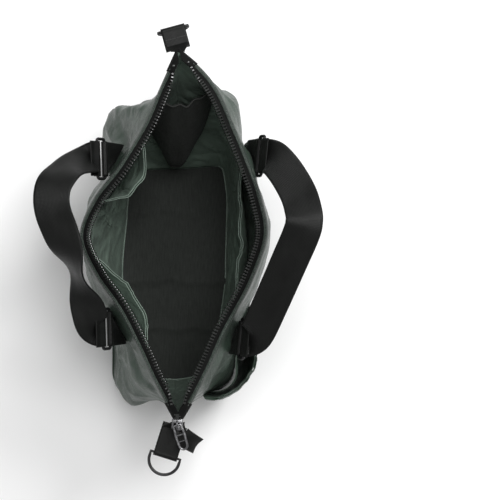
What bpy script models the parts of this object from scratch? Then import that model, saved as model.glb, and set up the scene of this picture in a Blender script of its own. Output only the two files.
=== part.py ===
"""Changing bag: a soft zip-top tote on a stiffened base, standing with its mouth open.

Metres, +Z up. The origin is the middle of the underside of the base. +Y runs along the base,
and +X is the front, the side with the outer pocket. Every sheet of fabric is an open surface
that Solidify gives its thickness; webbing is a strip swept along a route.
"""

import math

import bmesh
import bpy
from mathutils import Vector

# Base
BASE_LENGTH = 0.350
BASE_DEPTH = 0.180
BASE_CORNER = 0.028
BASE_PANEL_THICKNESS = 0.0020
BASE_BOARD_THICKNESS = 0.0025
BASE_CLEARANCE = 0.0050

# Body and open mouth
HEIGHT = 0.300
MOUTH_LENGTH = 0.468
MOUTH_LEAN_X = 0.020
MOUTH_LEAN_Y = 0.0485
MOUTH_BOW_BACK = 0.122
MOUTH_BOW_FRONT = 0.111
PANEL_THICKNESS = 0.0016
LINING_THICKNESS = 0.0010
END_SEAM_WIDTH = 0.020
SKIN_GAP = 0.0006
FIT_GAP = 0.0004

WALL_COLUMNS = 29
WALL_ROWS = 9

# Zip
ZIP_SEAT = 0.0024
ZIP_FACING = 0.0048
ZIP_TAPE = 0.0072
ZIP_TOOTH = 0.0042
ZIP_PITCH = 0.0050
ZIP_THICKNESS = 0.0024
TAPE_THICKNESS = 0.0010
ZIP_START = 0.026
CHAIN_WIDTH = 0.0085
CHAIN_END_LENGTH = 0.026
SLIDER_LENGTH = 0.0140
SLIDER_WIDTH = 0.0135
SLIDER_HEIGHT = 0.0080
PULL_LENGTH = 0.031
PULL_WIDTH = 0.0115
PULL_BAR = 0.0016
TAIL_WIDTH = 0.024
TAIL_LENGTH = 0.024

# Webbing, rings and handles
WEBBING_THICKNESS = 0.0014
HANDLE_WIDTH = 0.044
HANDLE_REACH_BACK = 0.046
HANDLE_RISE_BACK = 0.066
HANDLE_REACH_FRONT = 0.052
HANDLE_RISE_FRONT = 0.112
HANDLE_UPPER_Y_BACK = 0.138
HANDLE_UPPER_Y_FRONT = 0.146
HANDLE_LOWER_Y_BACK = -0.060
HANDLE_LOWER_Y_FRONT = -0.074
HANDLE_AXIS_Z = HEIGHT - 0.020
ANCHOR_TOP_Z = HEIGHT - 0.032
ANCHOR_LOW_Z = 0.130
ANCHOR_STANDOFF = {-1: 0.0155, 1: 0.0136}
RING_BAR = 0.0020
RING_OPENING = 0.0100
RING_SIDE_GAP = 0.0020
LOOP_GAP = 0.0007
LOOP_TAIL = 0.014
ANCHOR_TAIL = 0.009
ANCHOR_GAP = 0.0014
TAB_WIDTH = 0.031
TAB_LENGTH_UPPER = 0.026
TAB_LENGTH_LOWER = 0.040
TAB_Z = HEIGHT - 0.009
D_BAR = 0.0019
D_OPENING = 0.0345

# Pockets
POCKET_THICKNESS = 0.0012
POCKET_HEM = 0.0100
POCKET_RIM = 0.0120
FRONT_POCKET_HEIGHT = 0.205
FRONT_POCKET_SWELL = 0.026
POUCH_LOW = 0.070
POUCH_HIGH = 0.250
POUCH_SHARE = 0.095
POUCH_SWELL = 0.046
POUCH_GAP = 0.0075
SNAP_RADIUS = 0.0055
SNAP_HEIGHT = 0.0022

BACK, FRONT = -1, 1
END_SHARE = 0.5 * END_SEAM_WIDTH / (BASE_LENGTH + BASE_DEPTH)

# The mouth seen from above: places along its half length, and how far it bows out there.
MOUTH_SHAPE = {
    BACK: ((-1, 0), (-0.77, 0.24), (-0.58, 0.41), (-0.38, 0.61), (-0.20, 0.85), (0, 1),
           (0.20, 0.86), (0.37, 0.61), (0.60, 0.34), (0.78, 0.19), (1, 0)),
    FRONT: ((-1, 0), (-0.86, 0.18), (-0.70, 0.35), (-0.50, 0.54), (-0.25, 0.82), (0, 1),
            (0.20, 0.94), (0.37, 0.82), (0.58, 0.64), (0.77, 0.46), (0.89, 0.27), (1, 0)),
}
# Where each handle's strap rolls edge-on: place along it, spread, turn in radians.
STRAP_ROLL = {BACK: ((0.33, 0.14, 1.25), (0.95, 0.08, 0.60)), FRONT: ()}
# Each handle's arch: the place between its lower and upper rings, and its height there.
STRAP_SHAPE = {
    BACK: ((1, 0), (0.985, 0.22), (0.94, 0.60), (0.86, 0.90), (0.78, 1.0), (0.69, 0.98),
           (0.58, 0.84), (0.36, 0.54), (0.16, 0.30), (0.035, 0.16), (0, 0)),
    FRONT: ((1, 0), (0.985, 0.20), (0.91, 0.50), (0.80, 0.81), (0.71, 0.96), (0.655, 1.0),
            (0.59, 0.96), (0.44, 0.76), (0.22, 0.46), (0.045, 0.20), (0, 0)),
}
# Where the walls swell between base and mouth: share along, share up, spread, reach.
SWELLS = {
    BACK: ((0.84, 0.50, 0.060, 0.036), (0.64, 0.60, 0.120, 0.018), (0.42, 0.66, 0.140, 0.012),
           (0.12, 0.45, 0.060, 0.026)),
    FRONT: ((0.85, 0.72, 0.090, 0.020), (0.50, 0.70, 0.220, 0.014), (0.18, 0.60, 0.080, 0.008)),
}


# ---------------------------------------------------------------- scene and materials

def clear_scene():
    for thing in list(bpy.data.objects):
        bpy.data.objects.remove(thing)


def new_collection(name):
    collection = bpy.data.collections.new(name)
    bpy.context.scene.collection.children.link(collection)
    return collection


clear_scene()
PARTS = new_collection("changing_bag")
CUTTERS = new_collection("cutters")
CUTTERS.hide_render = True


def paint(name, colour, roughness, metallic=0.0):
    material = bpy.data.materials.new(name)
    material.use_nodes = True
    shader = material.node_tree.nodes["Principled BSDF"]
    shader.inputs["Base Color"].default_value = (*colour, 1.0)
    shader.inputs["Roughness"].default_value = roughness
    shader.inputs["Metallic"].default_value = metallic
    return material


SHELL = paint("shell_nylon", (0.070, 0.090, 0.076), 0.42)
LINING = paint("lining_nylon", (0.040, 0.050, 0.043), 0.48)
BLACK_CLOTH = paint("black_cloth", (0.018, 0.020, 0.018), 0.70)
WEBBING = paint("webbing", (0.020, 0.021, 0.020), 0.45)
TAPE = paint("zip_tape", (0.010, 0.011, 0.010), 0.80)
MOULDED = paint("zip_teeth", (0.016, 0.017, 0.016), 0.35)
HARDWARE = paint("black_metal", (0.030, 0.030, 0.031), 0.32, 0.9)
GUNMETAL = paint("gunmetal", (0.130, 0.130, 0.135), 0.34, 0.9)
BOARD = paint("base_board", (0.080, 0.080, 0.080), 0.60)


# ---------------------------------------------------------------- outlines of the body

def smooth_line(points, steps=6):
    """A Catmull-Rom line through the points."""
    ends = [points[0], *points, points[-1]]
    line = []
    for a, b, c, d in zip(ends, ends[1:], ends[2:], ends[3:]):
        for step in range(steps):
            u = step / steps
            line.append(0.5 * (2 * b + (c - a) * u + (2 * a - 5 * b + 4 * c - d) * u**2
                               + (3 * b - a - 3 * c + d) * u**3))
    return [*line, points[-1]]


def along(line, share):
    """The point at a share of the length of a line of points."""
    steps = [(b - a).length for a, b in zip(line, line[1:])]
    left = max(0.0, min(1.0, share)) * sum(steps)
    for a, b, step in zip(line, line[1:], steps):
        if left <= step:
            return a.lerp(b, left / step)
        left -= step
    return line[-1].copy()


def base_outline(side, inset=0.0):
    """Half of the base's rounded rectangle, from the middle of its -Y end to that of its +Y end."""
    half_depth = BASE_DEPTH / 2 - inset
    half_length = BASE_LENGTH / 2 - inset
    corner = BASE_CORNER - inset
    line = [Vector((0, -half_length, 0))]
    for end in (-1, 1):
        for step in range(6):
            turn = math.radians(18 * step)
            if end < 0:
                turn = math.pi / 2 - turn
            line.append(Vector((side * (half_depth - corner + corner * math.cos(turn)),
                                end * (half_length - corner + corner * math.sin(turn)), 0)))
    return [*line, Vector((0, half_length, 0))]


def mouth_outline(side):
    bow = MOUTH_BOW_BACK if side == BACK else MOUTH_BOW_FRONT
    shape = [Vector((MOUTH_LEAN_X + side * bow * out,
                     MOUTH_LEAN_Y + MOUTH_LENGTH / 2 * place, 0))
             for place, out in MOUTH_SHAPE[side]]
    return smooth_line(shape)


BASE_LINE = {side: base_outline(side) for side in (BACK, FRONT)}
MOUTH_LINE = {side: mouth_outline(side) for side in (BACK, FRONT)}


def swell(side, share, rise):
    total = 0.0
    for place, height, spread, reach in SWELLS[side]:
        lifted = rise ** (math.log(0.5) / math.log(height))
        total += reach * math.exp(-((share - place) / spread) ** 2) * math.sin(math.pi * lifted)
    return total


def straight_point(side, share, rise):
    """On the wall pulled straight from the base to the mouth."""
    return along(BASE_LINE[side], share).lerp(along(MOUTH_LINE[side], share), rise)


def wall_point(side, share, rise):
    """On the outer face of the body: share runs from the -Y end to +Y, rise from base to mouth."""
    here = straight_point(side, share, rise)
    way = straight_point(side, share + 0.01, rise) - straight_point(side, share - 0.01, rise)
    out = Vector((way.y, -way.x, 0)).normalized() * side
    fade = min(1.0, share / 0.12, (1 - share) / 0.12)
    return here + out * swell(side, share, rise) * fade


def outward(side, share, z):
    """The wall's outward normal."""
    rise = max(0.0, min(1.0, z / HEIGHT))
    way = wall_point(side, share + 0.012, rise) - wall_point(side, share - 0.012, rise)
    over, under = min(1.0, rise + 0.02), max(0.0, rise - 0.02)
    up = wall_point(side, share, over) - wall_point(side, share, under)
    up.z = HEIGHT * (over - under)
    return way.cross(up).normalized() * side


def wall(side, share, z, inset=0.0):
    """A point inset from the body's outer face, square to it (outside where inset is negative)."""
    here = wall_point(side, share, max(0.0, min(1.0, z / HEIGHT)))
    here.z = z
    return here - outward(side, share, z) * inset if inset else here


def share_at(side, y, z):
    """The share along the wall at which it passes y, at a height."""
    low, high = 0.0, 1.0
    for _ in range(24):
        middle = (low + high) / 2
        if wall(side, middle, z).y < y:
            low = middle
        else:
            high = middle
    return (low + high) / 2


def shares(first, last, count):
    return [first + (last - first) * i / (count - 1) for i in range(count)]


# ---------------------------------------------------------------- makers of solids

def place(name, data, material, collection=PARTS):
    thing = bpy.data.objects.new(name, data)
    collection.objects.link(thing)
    data.materials.append(material)
    return thing


def sheet(name, rows, thickness, material, facing=1, offset=-1.0, origin=Vector((0, 0, 0))):
    """An open surface through rows of points, with Solidify's thickness behind its facing side."""
    surface = bmesh.new()
    made = [[surface.verts.new(point - origin) for point in row] for row in rows]
    for near, far in zip(made, made[1:]):
        for i in range(len(near) - 1):
            surface.faces.new((near[i], near[i + 1], far[i + 1], far[i])[::facing])
    mesh = bpy.data.meshes.new(name)
    surface.to_mesh(mesh)
    surface.free()
    mesh.shade_smooth()
    mesh.set_sharp_from_angle(angle=math.radians(50))
    thing = place(name, mesh, material)
    thing.location = origin
    solid = thing.modifiers.new("thickness", "SOLIDIFY")
    solid.thickness = thickness
    solid.offset = offset
    return thing


def plate(name, outline, low, thickness, material):
    """A flat outline with its own thickness, its underside at a height."""
    curve = bpy.data.curves.new(name, "CURVE")
    curve.dimensions = "2D"
    curve.fill_mode = "BOTH"
    curve.extrude = thickness / 2
    spline = curve.splines.new("POLY")
    spline.points.add(len(outline) - 1)
    for point, corner in zip(spline.points, outline):
        point.co = (corner.x, corner.y, 0, 1)
    spline.use_cyclic_u = True
    thing = place(name, curve, material)
    thing.location.z = low + thickness / 2
    return thing


def base_ring(inset):
    """The base's whole outline, inset, once round."""
    return base_outline(FRONT, inset)[:-1] + base_outline(BACK, inset)[:0:-1]


def wire(name, points, radius, material, origin, sides=3):
    """A closed loop of round bar through points, its origin on its joint's axis."""
    curve = bpy.data.curves.new(name, "CURVE")
    curve.dimensions = "3D"
    curve.bevel_depth = radius
    curve.bevel_resolution = sides
    spline = curve.splines.new("POLY")
    spline.points.add(len(points) - 1)
    for point, at in zip(spline.points, points):
        point.co = (*(at - origin), 1)
    spline.use_cyclic_u = True
    thing = place(name, curve, material)
    thing.location = origin
    return thing


def block(name, size, centre, material, bevel, collection=PARTS):
    """A box with rounded edges."""
    shape = bmesh.new()
    bmesh.ops.create_cube(shape, size=1.0)
    bmesh.ops.scale(shape, vec=size, verts=shape.verts)
    mesh = bpy.data.meshes.new(name)
    shape.to_mesh(mesh)
    shape.free()
    thing = place(name, mesh, material, collection)
    thing.location = centre
    if bevel:
        edges = thing.modifiers.new("edges", "BEVEL")
        edges.width = bevel
        edges.segments = 1
    return thing


def cut(thing, cutter):
    cutter.display_type = "WIRE"
    cutter.hide_render = True
    tool = thing.modifiers.new("cut_" + cutter.name, "BOOLEAN")
    tool.operation = "DIFFERENCE"
    tool.object = cutter


def disc(name, radius, height, centre, facing, material):
    """A snap button whose face looks along facing."""
    shape = bmesh.new()
    bmesh.ops.create_cone(shape, cap_ends=True, segments=20, radius1=radius, radius2=0.8 * radius,
                          depth=height)
    mesh = bpy.data.meshes.new(name)
    shape.to_mesh(mesh)
    shape.free()
    thing = place(name, mesh, material)
    thing.rotation_euler = facing.to_track_quat("Z", "Y").to_euler()
    thing.location = centre
    return thing


def loop_route(bar, along_bar, lead, radius, gap, tail):
    """A strip's centre line round a bar: out along lead, round the far side and back under.

    It is listed from the sewn tail, round the bar, to the point beside the bar where the
    strip runs on. lead points from the bar towards the strip's own run.
    """
    up = along_bar.cross(lead).normalized()
    reach = radius + gap + WEBBING_THICKNESS / 2
    close = gap + WEBBING_THICKNESS / 2
    route = [bar + lead * tail - up * close, bar + lead * (tail * 0.55) - up * close]
    for step in range(7):
        turn = math.radians(-60 - 40 * step)
        route.append(bar + lead * reach * math.cos(turn) + up * reach * math.sin(turn))
    return route


def strip(name, centres, widths, width, material, origin, columns=2):
    """Webbing: a strip of even width along a line of centres, its width direction given at each."""
    rows = []
    for centre, across in zip(centres, widths):
        reach = across.normalized() * width / 2
        rows.append([centre + reach * (2 * i / columns - 1) for i in range(columns + 1)])
    return sheet(name, rows, WEBBING_THICKNESS, material, offset=0.0, origin=origin)


# ---------------------------------------------------------------- body

def build_base():
    plate("base_panel", base_ring(0.0), 0.0, BASE_PANEL_THICKNESS, BLACK_CLOTH)
    board_inset = PANEL_THICKNESS + BASE_CLEARANCE
    board_low = BASE_PANEL_THICKNESS + FIT_GAP
    plate("base_board", base_ring(board_inset), board_low, BASE_BOARD_THICKNESS, BOARD)
    floor_inset = PANEL_THICKNESS + SKIN_GAP + LINING_THICKNESS + BASE_CLEARANCE
    plate("lining_base", base_ring(floor_inset), LINING_LOW, LINING_THICKNESS, BLACK_CLOTH)


PANEL_LOW = BASE_PANEL_THICKNESS + FIT_GAP
LINING_LOW = PANEL_LOW + BASE_BOARD_THICKNESS + FIT_GAP


def wall_rows(side, first, last, low, high, inset):
    return [[wall(side, share, z, inset) for share in shares(first, last, WALL_COLUMNS)]
            for z in shares(low, high, WALL_ROWS)]


def build_walls():
    for side, word in ((FRONT, "front"), (BACK, "back")):
        outer = wall_rows(side, END_SHARE, 1 - END_SHARE, PANEL_LOW, HEIGHT, 0.0)
        sheet(f"{word}_panel", outer, PANEL_THICKNESS, SHELL, facing=side)
        inset = PANEL_THICKNESS + SKIN_GAP
        inner = wall_rows(side, END_SHARE, 1 - END_SHARE, LINING_LOW, HEIGHT - SKIN_GAP, inset)
        sheet(f"lining_{word}", inner, LINING_THICKNESS, LINING, facing=side)


def build_end_seams():
    """The corded seam up each end, where the front and back walls meet."""
    edge = END_SHARE * 0.92
    for end, word in ((0.0, "lower"), (1.0, "upper")):
        rows = []
        for z in shares(PANEL_LOW, HEIGHT, 9):
            near, far = abs(end - edge), abs(end - edge / 2)
            rows.append([wall(BACK, near, z), wall(BACK, far, z), wall(BACK, end, z),
                         wall(FRONT, far, z), wall(FRONT, near, z)])
        sheet(f"end_seam_{word}", rows, PANEL_THICKNESS, SHELL, facing=1 if end == 0.0 else -1)


# ---------------------------------------------------------------- zip

def zip_inset(side, share, reach):
    """How far in from the wall the zip lies: it stands up where the mouth narrows to its ends."""
    run = min(share, 1 - share) * (BASE_LENGTH + BASE_DEPTH)
    return min(reach, 0.30 * (run - 0.004))


def flat_outward(side, share):
    """The mouth's outward direction, seen from above."""
    way = wall_point(side, share + 0.012, 1.0) - wall_point(side, share - 0.012, 1.0)
    return Vector((way.y, -way.x, 0)).normalized() * side


def zip_point(side, share, reach):
    """On the slope of the open zip, reach away from the wall's top edge."""
    inset = zip_inset(side, share, reach * 0.82)
    lift = math.sqrt(max(0.0, reach**2 - inset**2))
    point = wall_point(side, share, 1.0) - flat_outward(side, share) * inset
    point.z = HEIGHT + ZIP_SEAT + lift
    return point


def zip_band(side, near, far, first, columns):
    return [[zip_point(side, share, reach) for share in shares(first, 1 - first, columns)]
            for reach in (near, far)]


def build_zip_side(side, word):
    facing_far = ZIP_FACING
    tape_near = facing_far + FIT_GAP
    tape_far = tape_near + ZIP_TAPE
    teeth_near = tape_far + FIT_GAP
    start = ZIP_START / (BASE_LENGTH + BASE_DEPTH)
    sheet(f"zip_facing_{word}", zip_band(side, 0.0, facing_far, start, 31), PANEL_THICKNESS,
          SHELL, facing=side)
    sheet(f"zip_tape_{word}", zip_band(side, tape_near, tape_far, start, 31), TAPE_THICKNESS,
          TAPE, facing=side)
    length = (1 - 2 * start) * (BASE_LENGTH + BASE_DEPTH)
    teeth = round(length / ZIP_PITCH)
    inner, outer = [], []
    for i, share in enumerate(shares(start, 1 - start, 2 * teeth + 1)):
        depth = ZIP_TOOTH if i % 2 else 0.45 * ZIP_TOOTH
        outer.append(zip_point(side, share, teeth_near))
        inner.append(zip_point(side, share, teeth_near + depth))
    sheet(f"zip_teeth_{word}", [outer, inner], ZIP_THICKNESS, MOULDED, facing=side)


def mouth_end(end):
    return Vector((MOUTH_LEAN_X, MOUTH_LEAN_Y + end * MOUTH_LENGTH / 2, 0))


def zip_level():
    return HEIGHT + ZIP_SEAT + ZIP_FACING + ZIP_TAPE


def chain_start():
    """Where the two rows of teeth come together at the -Y end."""
    return mouth_end(-1) + Vector((0, ZIP_START * 0.55, zip_level()))


def build_slider():
    """The joined end of the chain, the slider parked on it, and its pull."""
    start = chain_start()
    chain = start + Vector((0, -CHAIN_END_LENGTH / 2, 0))
    block("zip_chain_end", (CHAIN_WIDTH, CHAIN_END_LENGTH, ZIP_THICKNESS), chain, MOULDED, 0.0005)
    at = start + Vector((0, -CHAIN_END_LENGTH / 2, 0))
    body = block("zip_slider", (SLIDER_WIDTH, SLIDER_LENGTH, SLIDER_HEIGHT), at, GUNMETAL, 0.0012)
    channel = block("slider_channel", (CHAIN_WIDTH + 0.0012, SLIDER_LENGTH * 1.5,
                                       ZIP_THICKNESS + 0.0012), at, GUNMETAL, 0.0, CUTTERS)
    cut(body, channel)
    top = at.z + SLIDER_HEIGHT / 2
    bridge_gap = PULL_BAR * 2 + 2 * LOOP_GAP
    bridge = block("zip_bridge", (0.0034, 0.0090, bridge_gap + 0.0016),
                   Vector((at.x, at.y, top + FIT_GAP + (bridge_gap + 0.0016) / 2)), GUNMETAL,
                   0.0006)
    eye = block("bridge_eye", (0.0080, 0.0056, bridge_gap),
                Vector((at.x, at.y, top + FIT_GAP + bridge_gap / 2)), GUNMETAL, 0.0, CUTTERS)
    eye.location.z -= 0.0006
    cut(bridge, eye)
    return at, top + FIT_GAP + bridge_gap / 2 - 0.0003


def build_pull(axis):
    """A ladder-shaped pull: a long window, a rung and a rounded end, hinged under the bridge."""
    half = PULL_WIDTH / 2
    lean = Vector((0.30, -0.954, 0))
    across = Vector((0.954, 0.30, 0))
    corners = [axis - across * half, axis + across * half]
    end = axis + lean * (PULL_LENGTH - half)
    for step in range(9):
        turn = math.radians(22.5 * step)
        corners.append(end + across * half * 0.82 * math.cos(turn) + lean * half * math.sin(turn))
    wire("zip_pull", corners, PULL_BAR, GUNMETAL, axis, 2)


def build_zip_ends():
    """The two top stops, and the free tail of the tape past the joined end."""
    for side, word in ((FRONT, "front"), (BACK, "back")):
        share = 1 - ZIP_START / (BASE_LENGTH + BASE_DEPTH) * 0.86
        at = zip_point(side, share, ZIP_FACING + ZIP_TAPE + ZIP_TOOTH / 2)
        block(f"zip_stop_{word}", (0.0030, 0.0030, 0.0056), at, MOULDED, 0.0006)
    root = chain_start() + Vector((0.006, -CHAIN_END_LENGTH - 0.0015, 0))
    way = Vector((0.80, -0.60, 0))
    across = Vector((0.60, 0.80, 0))
    centres = [root + way * TAIL_LENGTH * i / 4 + Vector((0, 0, -0.012 * (i / 4) ** 2))
               for i in range(5)]
    strip("zip_tail_tab", centres, [across] * 5, TAIL_WIDTH, WEBBING, Vector((0, 0, 0)))


# ---------------------------------------------------------------- end tabs and D-rings

def d_outline(bar, across, way):
    """A D lying along way from its straight bar."""
    half = D_OPENING / 2 + D_BAR
    points = [bar - across * half, bar + across * half]
    straight = 0.006
    for step in range(13):
        turn = math.radians(15 * step)
        points.append(bar + way * straight + across * half * math.cos(turn)
                      + way * half * math.sin(turn) * 0.98)
    return points


def build_tab(word, root, way, length, ring_way):
    """A folded tab of webbing sewn over the end seam, with its D-ring."""
    across = Vector((-way.y, way.x, 0)).normalized()
    bar = root + way * length
    route = loop_route(bar, across, -way, D_BAR, LOOP_GAP, length)
    upper = route[-1] - bar
    run_end = root + Vector((0, 0, upper.z)).normalized() * (LOOP_GAP + WEBBING_THICKNESS / 2)
    centres = [*route, run_end]
    strip(f"end_tab_{word}", centres, [across] * len(centres), TAB_WIDTH, WEBBING,
          Vector((0, 0, 0)))
    wire(f"d_ring_{word}", d_outline(bar, across, ring_way), D_BAR, HARDWARE, bar)


# ---------------------------------------------------------------- handles

def handle_axis(side):
    """The two bar centres that a handle's rings turn on, the axis through them, and outward."""
    places = {BACK: (HANDLE_LOWER_Y_BACK, HANDLE_UPPER_Y_BACK),
              FRONT: (HANDLE_LOWER_Y_FRONT, HANDLE_UPPER_Y_FRONT)}
    ends = []
    for y in places[side]:
        share = share_at(side, y, ANCHOR_TOP_Z)
        bar = wall(side, share, ANCHOR_TOP_Z, -ANCHOR_STANDOFF[side])
        bar.z = HANDLE_AXIS_Z
        ends.append(bar)
    across = (ends[1] - ends[0]).normalized()
    out = Vector((across.y, -across.x, 0)) * side
    return ends, across, out


def ring_outline(bar, across, way, width):
    """A rectangular ring standing along way from its lower bar."""
    half = width / 2 + RING_BAR
    height = RING_OPENING + 2 * RING_BAR
    corner = 0.003
    points = []
    for x, y, turn in ((-1, 0, 180), (1, 0, 270), (1, 1, 0), (-1, 1, 90)):
        for step in (0, 45, 90):
            angle = math.radians(turn + step)
            middle = (bar + across * x * (half - corner)
                      + way * (corner + y * (height - 2 * corner)))
            points.append(middle + across * corner * math.cos(angle)
                          + way * corner * math.sin(angle))
    return points


def build_anchor(name, side, bar, across):
    """Webbing sewn down the wall, looped at its top round a ring's lower bar."""
    share = share_at(side, bar.y, ANCHOR_TOP_Z)
    down = wall(side, share, ANCHOR_TOP_Z - 0.02) - wall(side, share, ANCHOR_TOP_Z)
    down = (down - across * down.dot(across)).normalized()
    columns = 4
    rows = [[centre + across * HANDLE_WIDTH * (i / columns - 0.5) for i in range(columns + 1)]
            for centre in loop_route(bar, across * side, down, RING_BAR, LOOP_GAP, ANCHOR_TAIL)]
    perimeter = BASE_LENGTH + BASE_DEPTH
    stand = -ANCHOR_GAP - WEBBING_THICKNESS / 2
    for z in shares(ANCHOR_TOP_Z - 1.5 * ANCHOR_TAIL, ANCHOR_LOW_Z, 5):
        centre = share_at(side, bar.y, z)
        rows.append([wall(side, centre + HANDLE_WIDTH * (i / columns - 0.5) / perimeter, z, stand)
                     for i in range(columns + 1)])
    sheet(name, rows, WEBBING_THICKNESS, WEBBING, offset=0.0)


def strap_run(side, first, last, way, length):
    """The strap's arch from the upper ring to the lower, tallest towards the +Y ring."""
    span = first - last
    return smooth_line([last + span * place + way * length * lift
                        for place, lift in STRAP_SHAPE[side]], 3)


def build_handle(side, word):
    """The strap from ring to ring, its rings, and the webbing that holds them to the wall."""
    ends, across, out = handle_axis(side)
    reach = HANDLE_REACH_BACK if side == BACK else HANDLE_REACH_FRONT
    rise = HANDLE_RISE_BACK if side == BACK else HANDLE_RISE_FRONT
    way = (out * reach + Vector((0, 0, rise))).normalized()
    origin = (ends[0] + ends[1]) / 2
    for bar, end_word in zip(ends, ("lower", "upper")):
        outline = ring_outline(bar, across, way, HANDLE_WIDTH + RING_SIDE_GAP)
        wire(f"handle_ring_{word}_{end_word}", outline, RING_BAR, HARDWARE, origin, 2)
        build_anchor(f"handle_anchor_{word}_{end_word}", side, bar, across)
    tops = [end + way * (RING_OPENING + 2 * RING_BAR) for end in ends]
    lower, upper = [loop_route(top, across * side, way, RING_BAR, LOOP_GAP, LOOP_TAIL)
                    for top in tops]
    length = math.hypot(reach, rise)
    run = strap_run(side, upper[-1], lower[-1], way, length)[1:-1]
    level = []
    for before, here, after in zip(run, run[1:], run[2:]):
        tangent = (after - before).normalized()
        along_strap = (here - lower[-1]).dot(across) / (upper[-1] - lower[-1]).length
        roll = sum(turn * math.exp(-((along_strap - place) / spread) ** 2)
                   for place, spread, turn in STRAP_ROLL[side])
        edge = tangent.cross(Vector((0, 0, -side))).normalized()
        level.append(edge * math.cos(roll) + tangent.cross(edge) * math.sin(roll))
    centres = [*upper, *run, *lower[::-1]]
    widths = [across] * (len(upper) + 1) + level + [-across] * (len(lower) + 1)
    strip(f"handle_{word}", centres, widths, HANDLE_WIDTH, WEBBING, origin)


# ---------------------------------------------------------------- pockets

WALL_SHARES = shares(END_SHARE, 1 - END_SHARE, WALL_COLUMNS)


class Patch:
    """Where a pocket lies on a wall: its first and last wall columns, its heights, its swell."""

    def __init__(self, side, first, last, low, high, swell_by, gape):
        self.side = side
        self.columns = WALL_SHARES[first:last + 1]
        self.low, self.high = low, high
        self.swell_by, self.gape = swell_by, gape

    def inset(self, share, z, gap):
        """The inset at a place: gap at the sewn edges, more towards the middle of the mouth."""
        first, last = self.columns[0], self.columns[-1]
        across = max(0.0, math.sin(math.pi * (share - first) / (last - first)))
        rise = max(0.0, (z - self.low) / (self.high - self.low))
        return gap + self.swell_by * across**0.8 * rise**self.gape

    def rows(self, low, high, gap, rows):
        return [[wall(self.side, share, z, self.inset(share, z, gap)) for share in self.columns]
                for z in shares(low, high, rows)]


INNER_GAP = PANEL_THICKNESS + LINING_THICKNESS + 4 * SKIN_GAP
HEM_THICKNESS = 0.0010


def build_inner_pocket(name, patch, material):
    """A slip pocket on the lining, its mouth gaping, with its bound hem as a separate strip."""
    hem_low = patch.high - POCKET_HEM
    body = patch.rows(patch.low, hem_low, INNER_GAP, 6)
    body += patch.rows(hem_low, patch.high, INNER_GAP, 2)[1:]
    sheet(name, body, POCKET_THICKNESS, material, facing=patch.side)
    hem_gap = INNER_GAP + POCKET_THICKNESS + 3 * FIT_GAP
    hem = patch.rows(hem_low, patch.high, hem_gap, 2)
    sheet(name + "_hem", hem, HEM_THICKNESS, material, facing=patch.side)


def build_front_pocket():
    """The gathered outer pocket on the front, near the -Y end, with its elastic rim and snap."""
    patch = Patch(FRONT, 2, 10, 0.020, FRONT_POCKET_HEIGHT, -FRONT_POCKET_SWELL, 0.8)
    gap = -(2 * SKIN_GAP + POCKET_THICKNESS)
    rim_low = patch.high - POCKET_RIM
    rows = patch.rows(patch.low, rim_low, gap, 7)
    rows += patch.rows(rim_low, patch.high, gap, 2)[1:]
    sheet("front_pocket", rows, POCKET_THICKNESS, SHELL)
    rim_gap = gap - POCKET_THICKNESS - 2 * FIT_GAP
    rim = patch.rows(rim_low, patch.high, rim_gap, 2)
    sheet("front_pocket_rim", rim, POCKET_THICKNESS, SHELL)
    middle = patch.columns[len(patch.columns) // 2]
    z = patch.high - POCKET_RIM - 2.2 * SNAP_RADIUS
    stand = patch.inset(middle, z, gap) - SNAP_HEIGHT / 2 - 0.0012
    disc("front_pocket_snap", SNAP_RADIUS, SNAP_HEIGHT, wall(FRONT, middle, z, stand),
         outward(FRONT, middle, z), GUNMETAL)


def build_lining_pockets():
    build_inner_pocket("slip_pocket_upper", Patch(BACK, 17, 23, 0.075, 0.235, 0.034, 1.6),
                       LINING)
    build_inner_pocket("slip_pocket_lower", Patch(BACK, 4, 14, 0.060, 0.215, 0.036, 1.6),
                       LINING)
    build_inner_pocket("side_pocket", Patch(FRONT, 8, 20, 0.070, 0.225, 0.030, 1.6), LINING)
    build_bottle_pouch()


def build_bottle_pouch():
    """A black pouch hanging across the inside of the +Y end, its bottom rounded."""
    rows = []
    for z in shares(POUCH_LOW, POUCH_HIGH, 8):
        rise = (z - POUCH_LOW) / (POUCH_HIGH - POUCH_LOW)
        reach = POUCH_SHARE * math.sqrt(1 - 0.85 * (1 - rise) ** 3)
        left = wall(BACK, 1 - reach, z, POUCH_GAP)
        right = wall(FRONT, 1 - reach, z, POUCH_GAP)
        row = []
        for share in shares(0.0, 1.0, 11):
            belly = POUCH_SWELL * math.sin(math.pi * share) * math.sin(1.0 + 1.9 * rise)
            row.append(left.lerp(right, share) - Vector((0, belly, 0)))
        rows.append(row)
    sheet("bottle_pouch", rows, POCKET_THICKNESS, BLACK_CLOTH, offset=0.0)


def build():
    build_base()
    build_walls()
    build_end_seams()
    for side, word in ((FRONT, "front"), (BACK, "back")):
        build_zip_side(side, word)
        build_handle(side, word)
    slider, hinge_z = build_slider()
    build_pull(Vector((slider.x, slider.y, hinge_z)))
    build_zip_ends()
    upper_way = Vector((-0.26, 0.966, 0)).normalized()
    lower_way = Vector((-0.30, -0.954, 0)).normalized()
    upper_root = mouth_end(1) + Vector((0, 0.0015, TAB_Z))
    lower_root = mouth_end(-1) + Vector((-0.004, -0.0020, TAB_Z))
    build_tab("upper", upper_root, upper_way, TAB_LENGTH_UPPER, Vector((0, 0, -1)))
    build_tab("lower", lower_root, lower_way, TAB_LENGTH_LOWER, lower_way)
    build_front_pocket()
    build_lining_pockets()


build()
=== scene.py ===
"""Looks of the changing bag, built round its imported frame.

Metres, +Z up. The origin is the middle of the base's underside, +Y runs along the base and +X is
the front, the side with the outer pocket.
"""

import logging
import math
from dataclasses import dataclass, field
from enum import Enum
from typing import Callable, Iterable, Sequence

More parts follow.
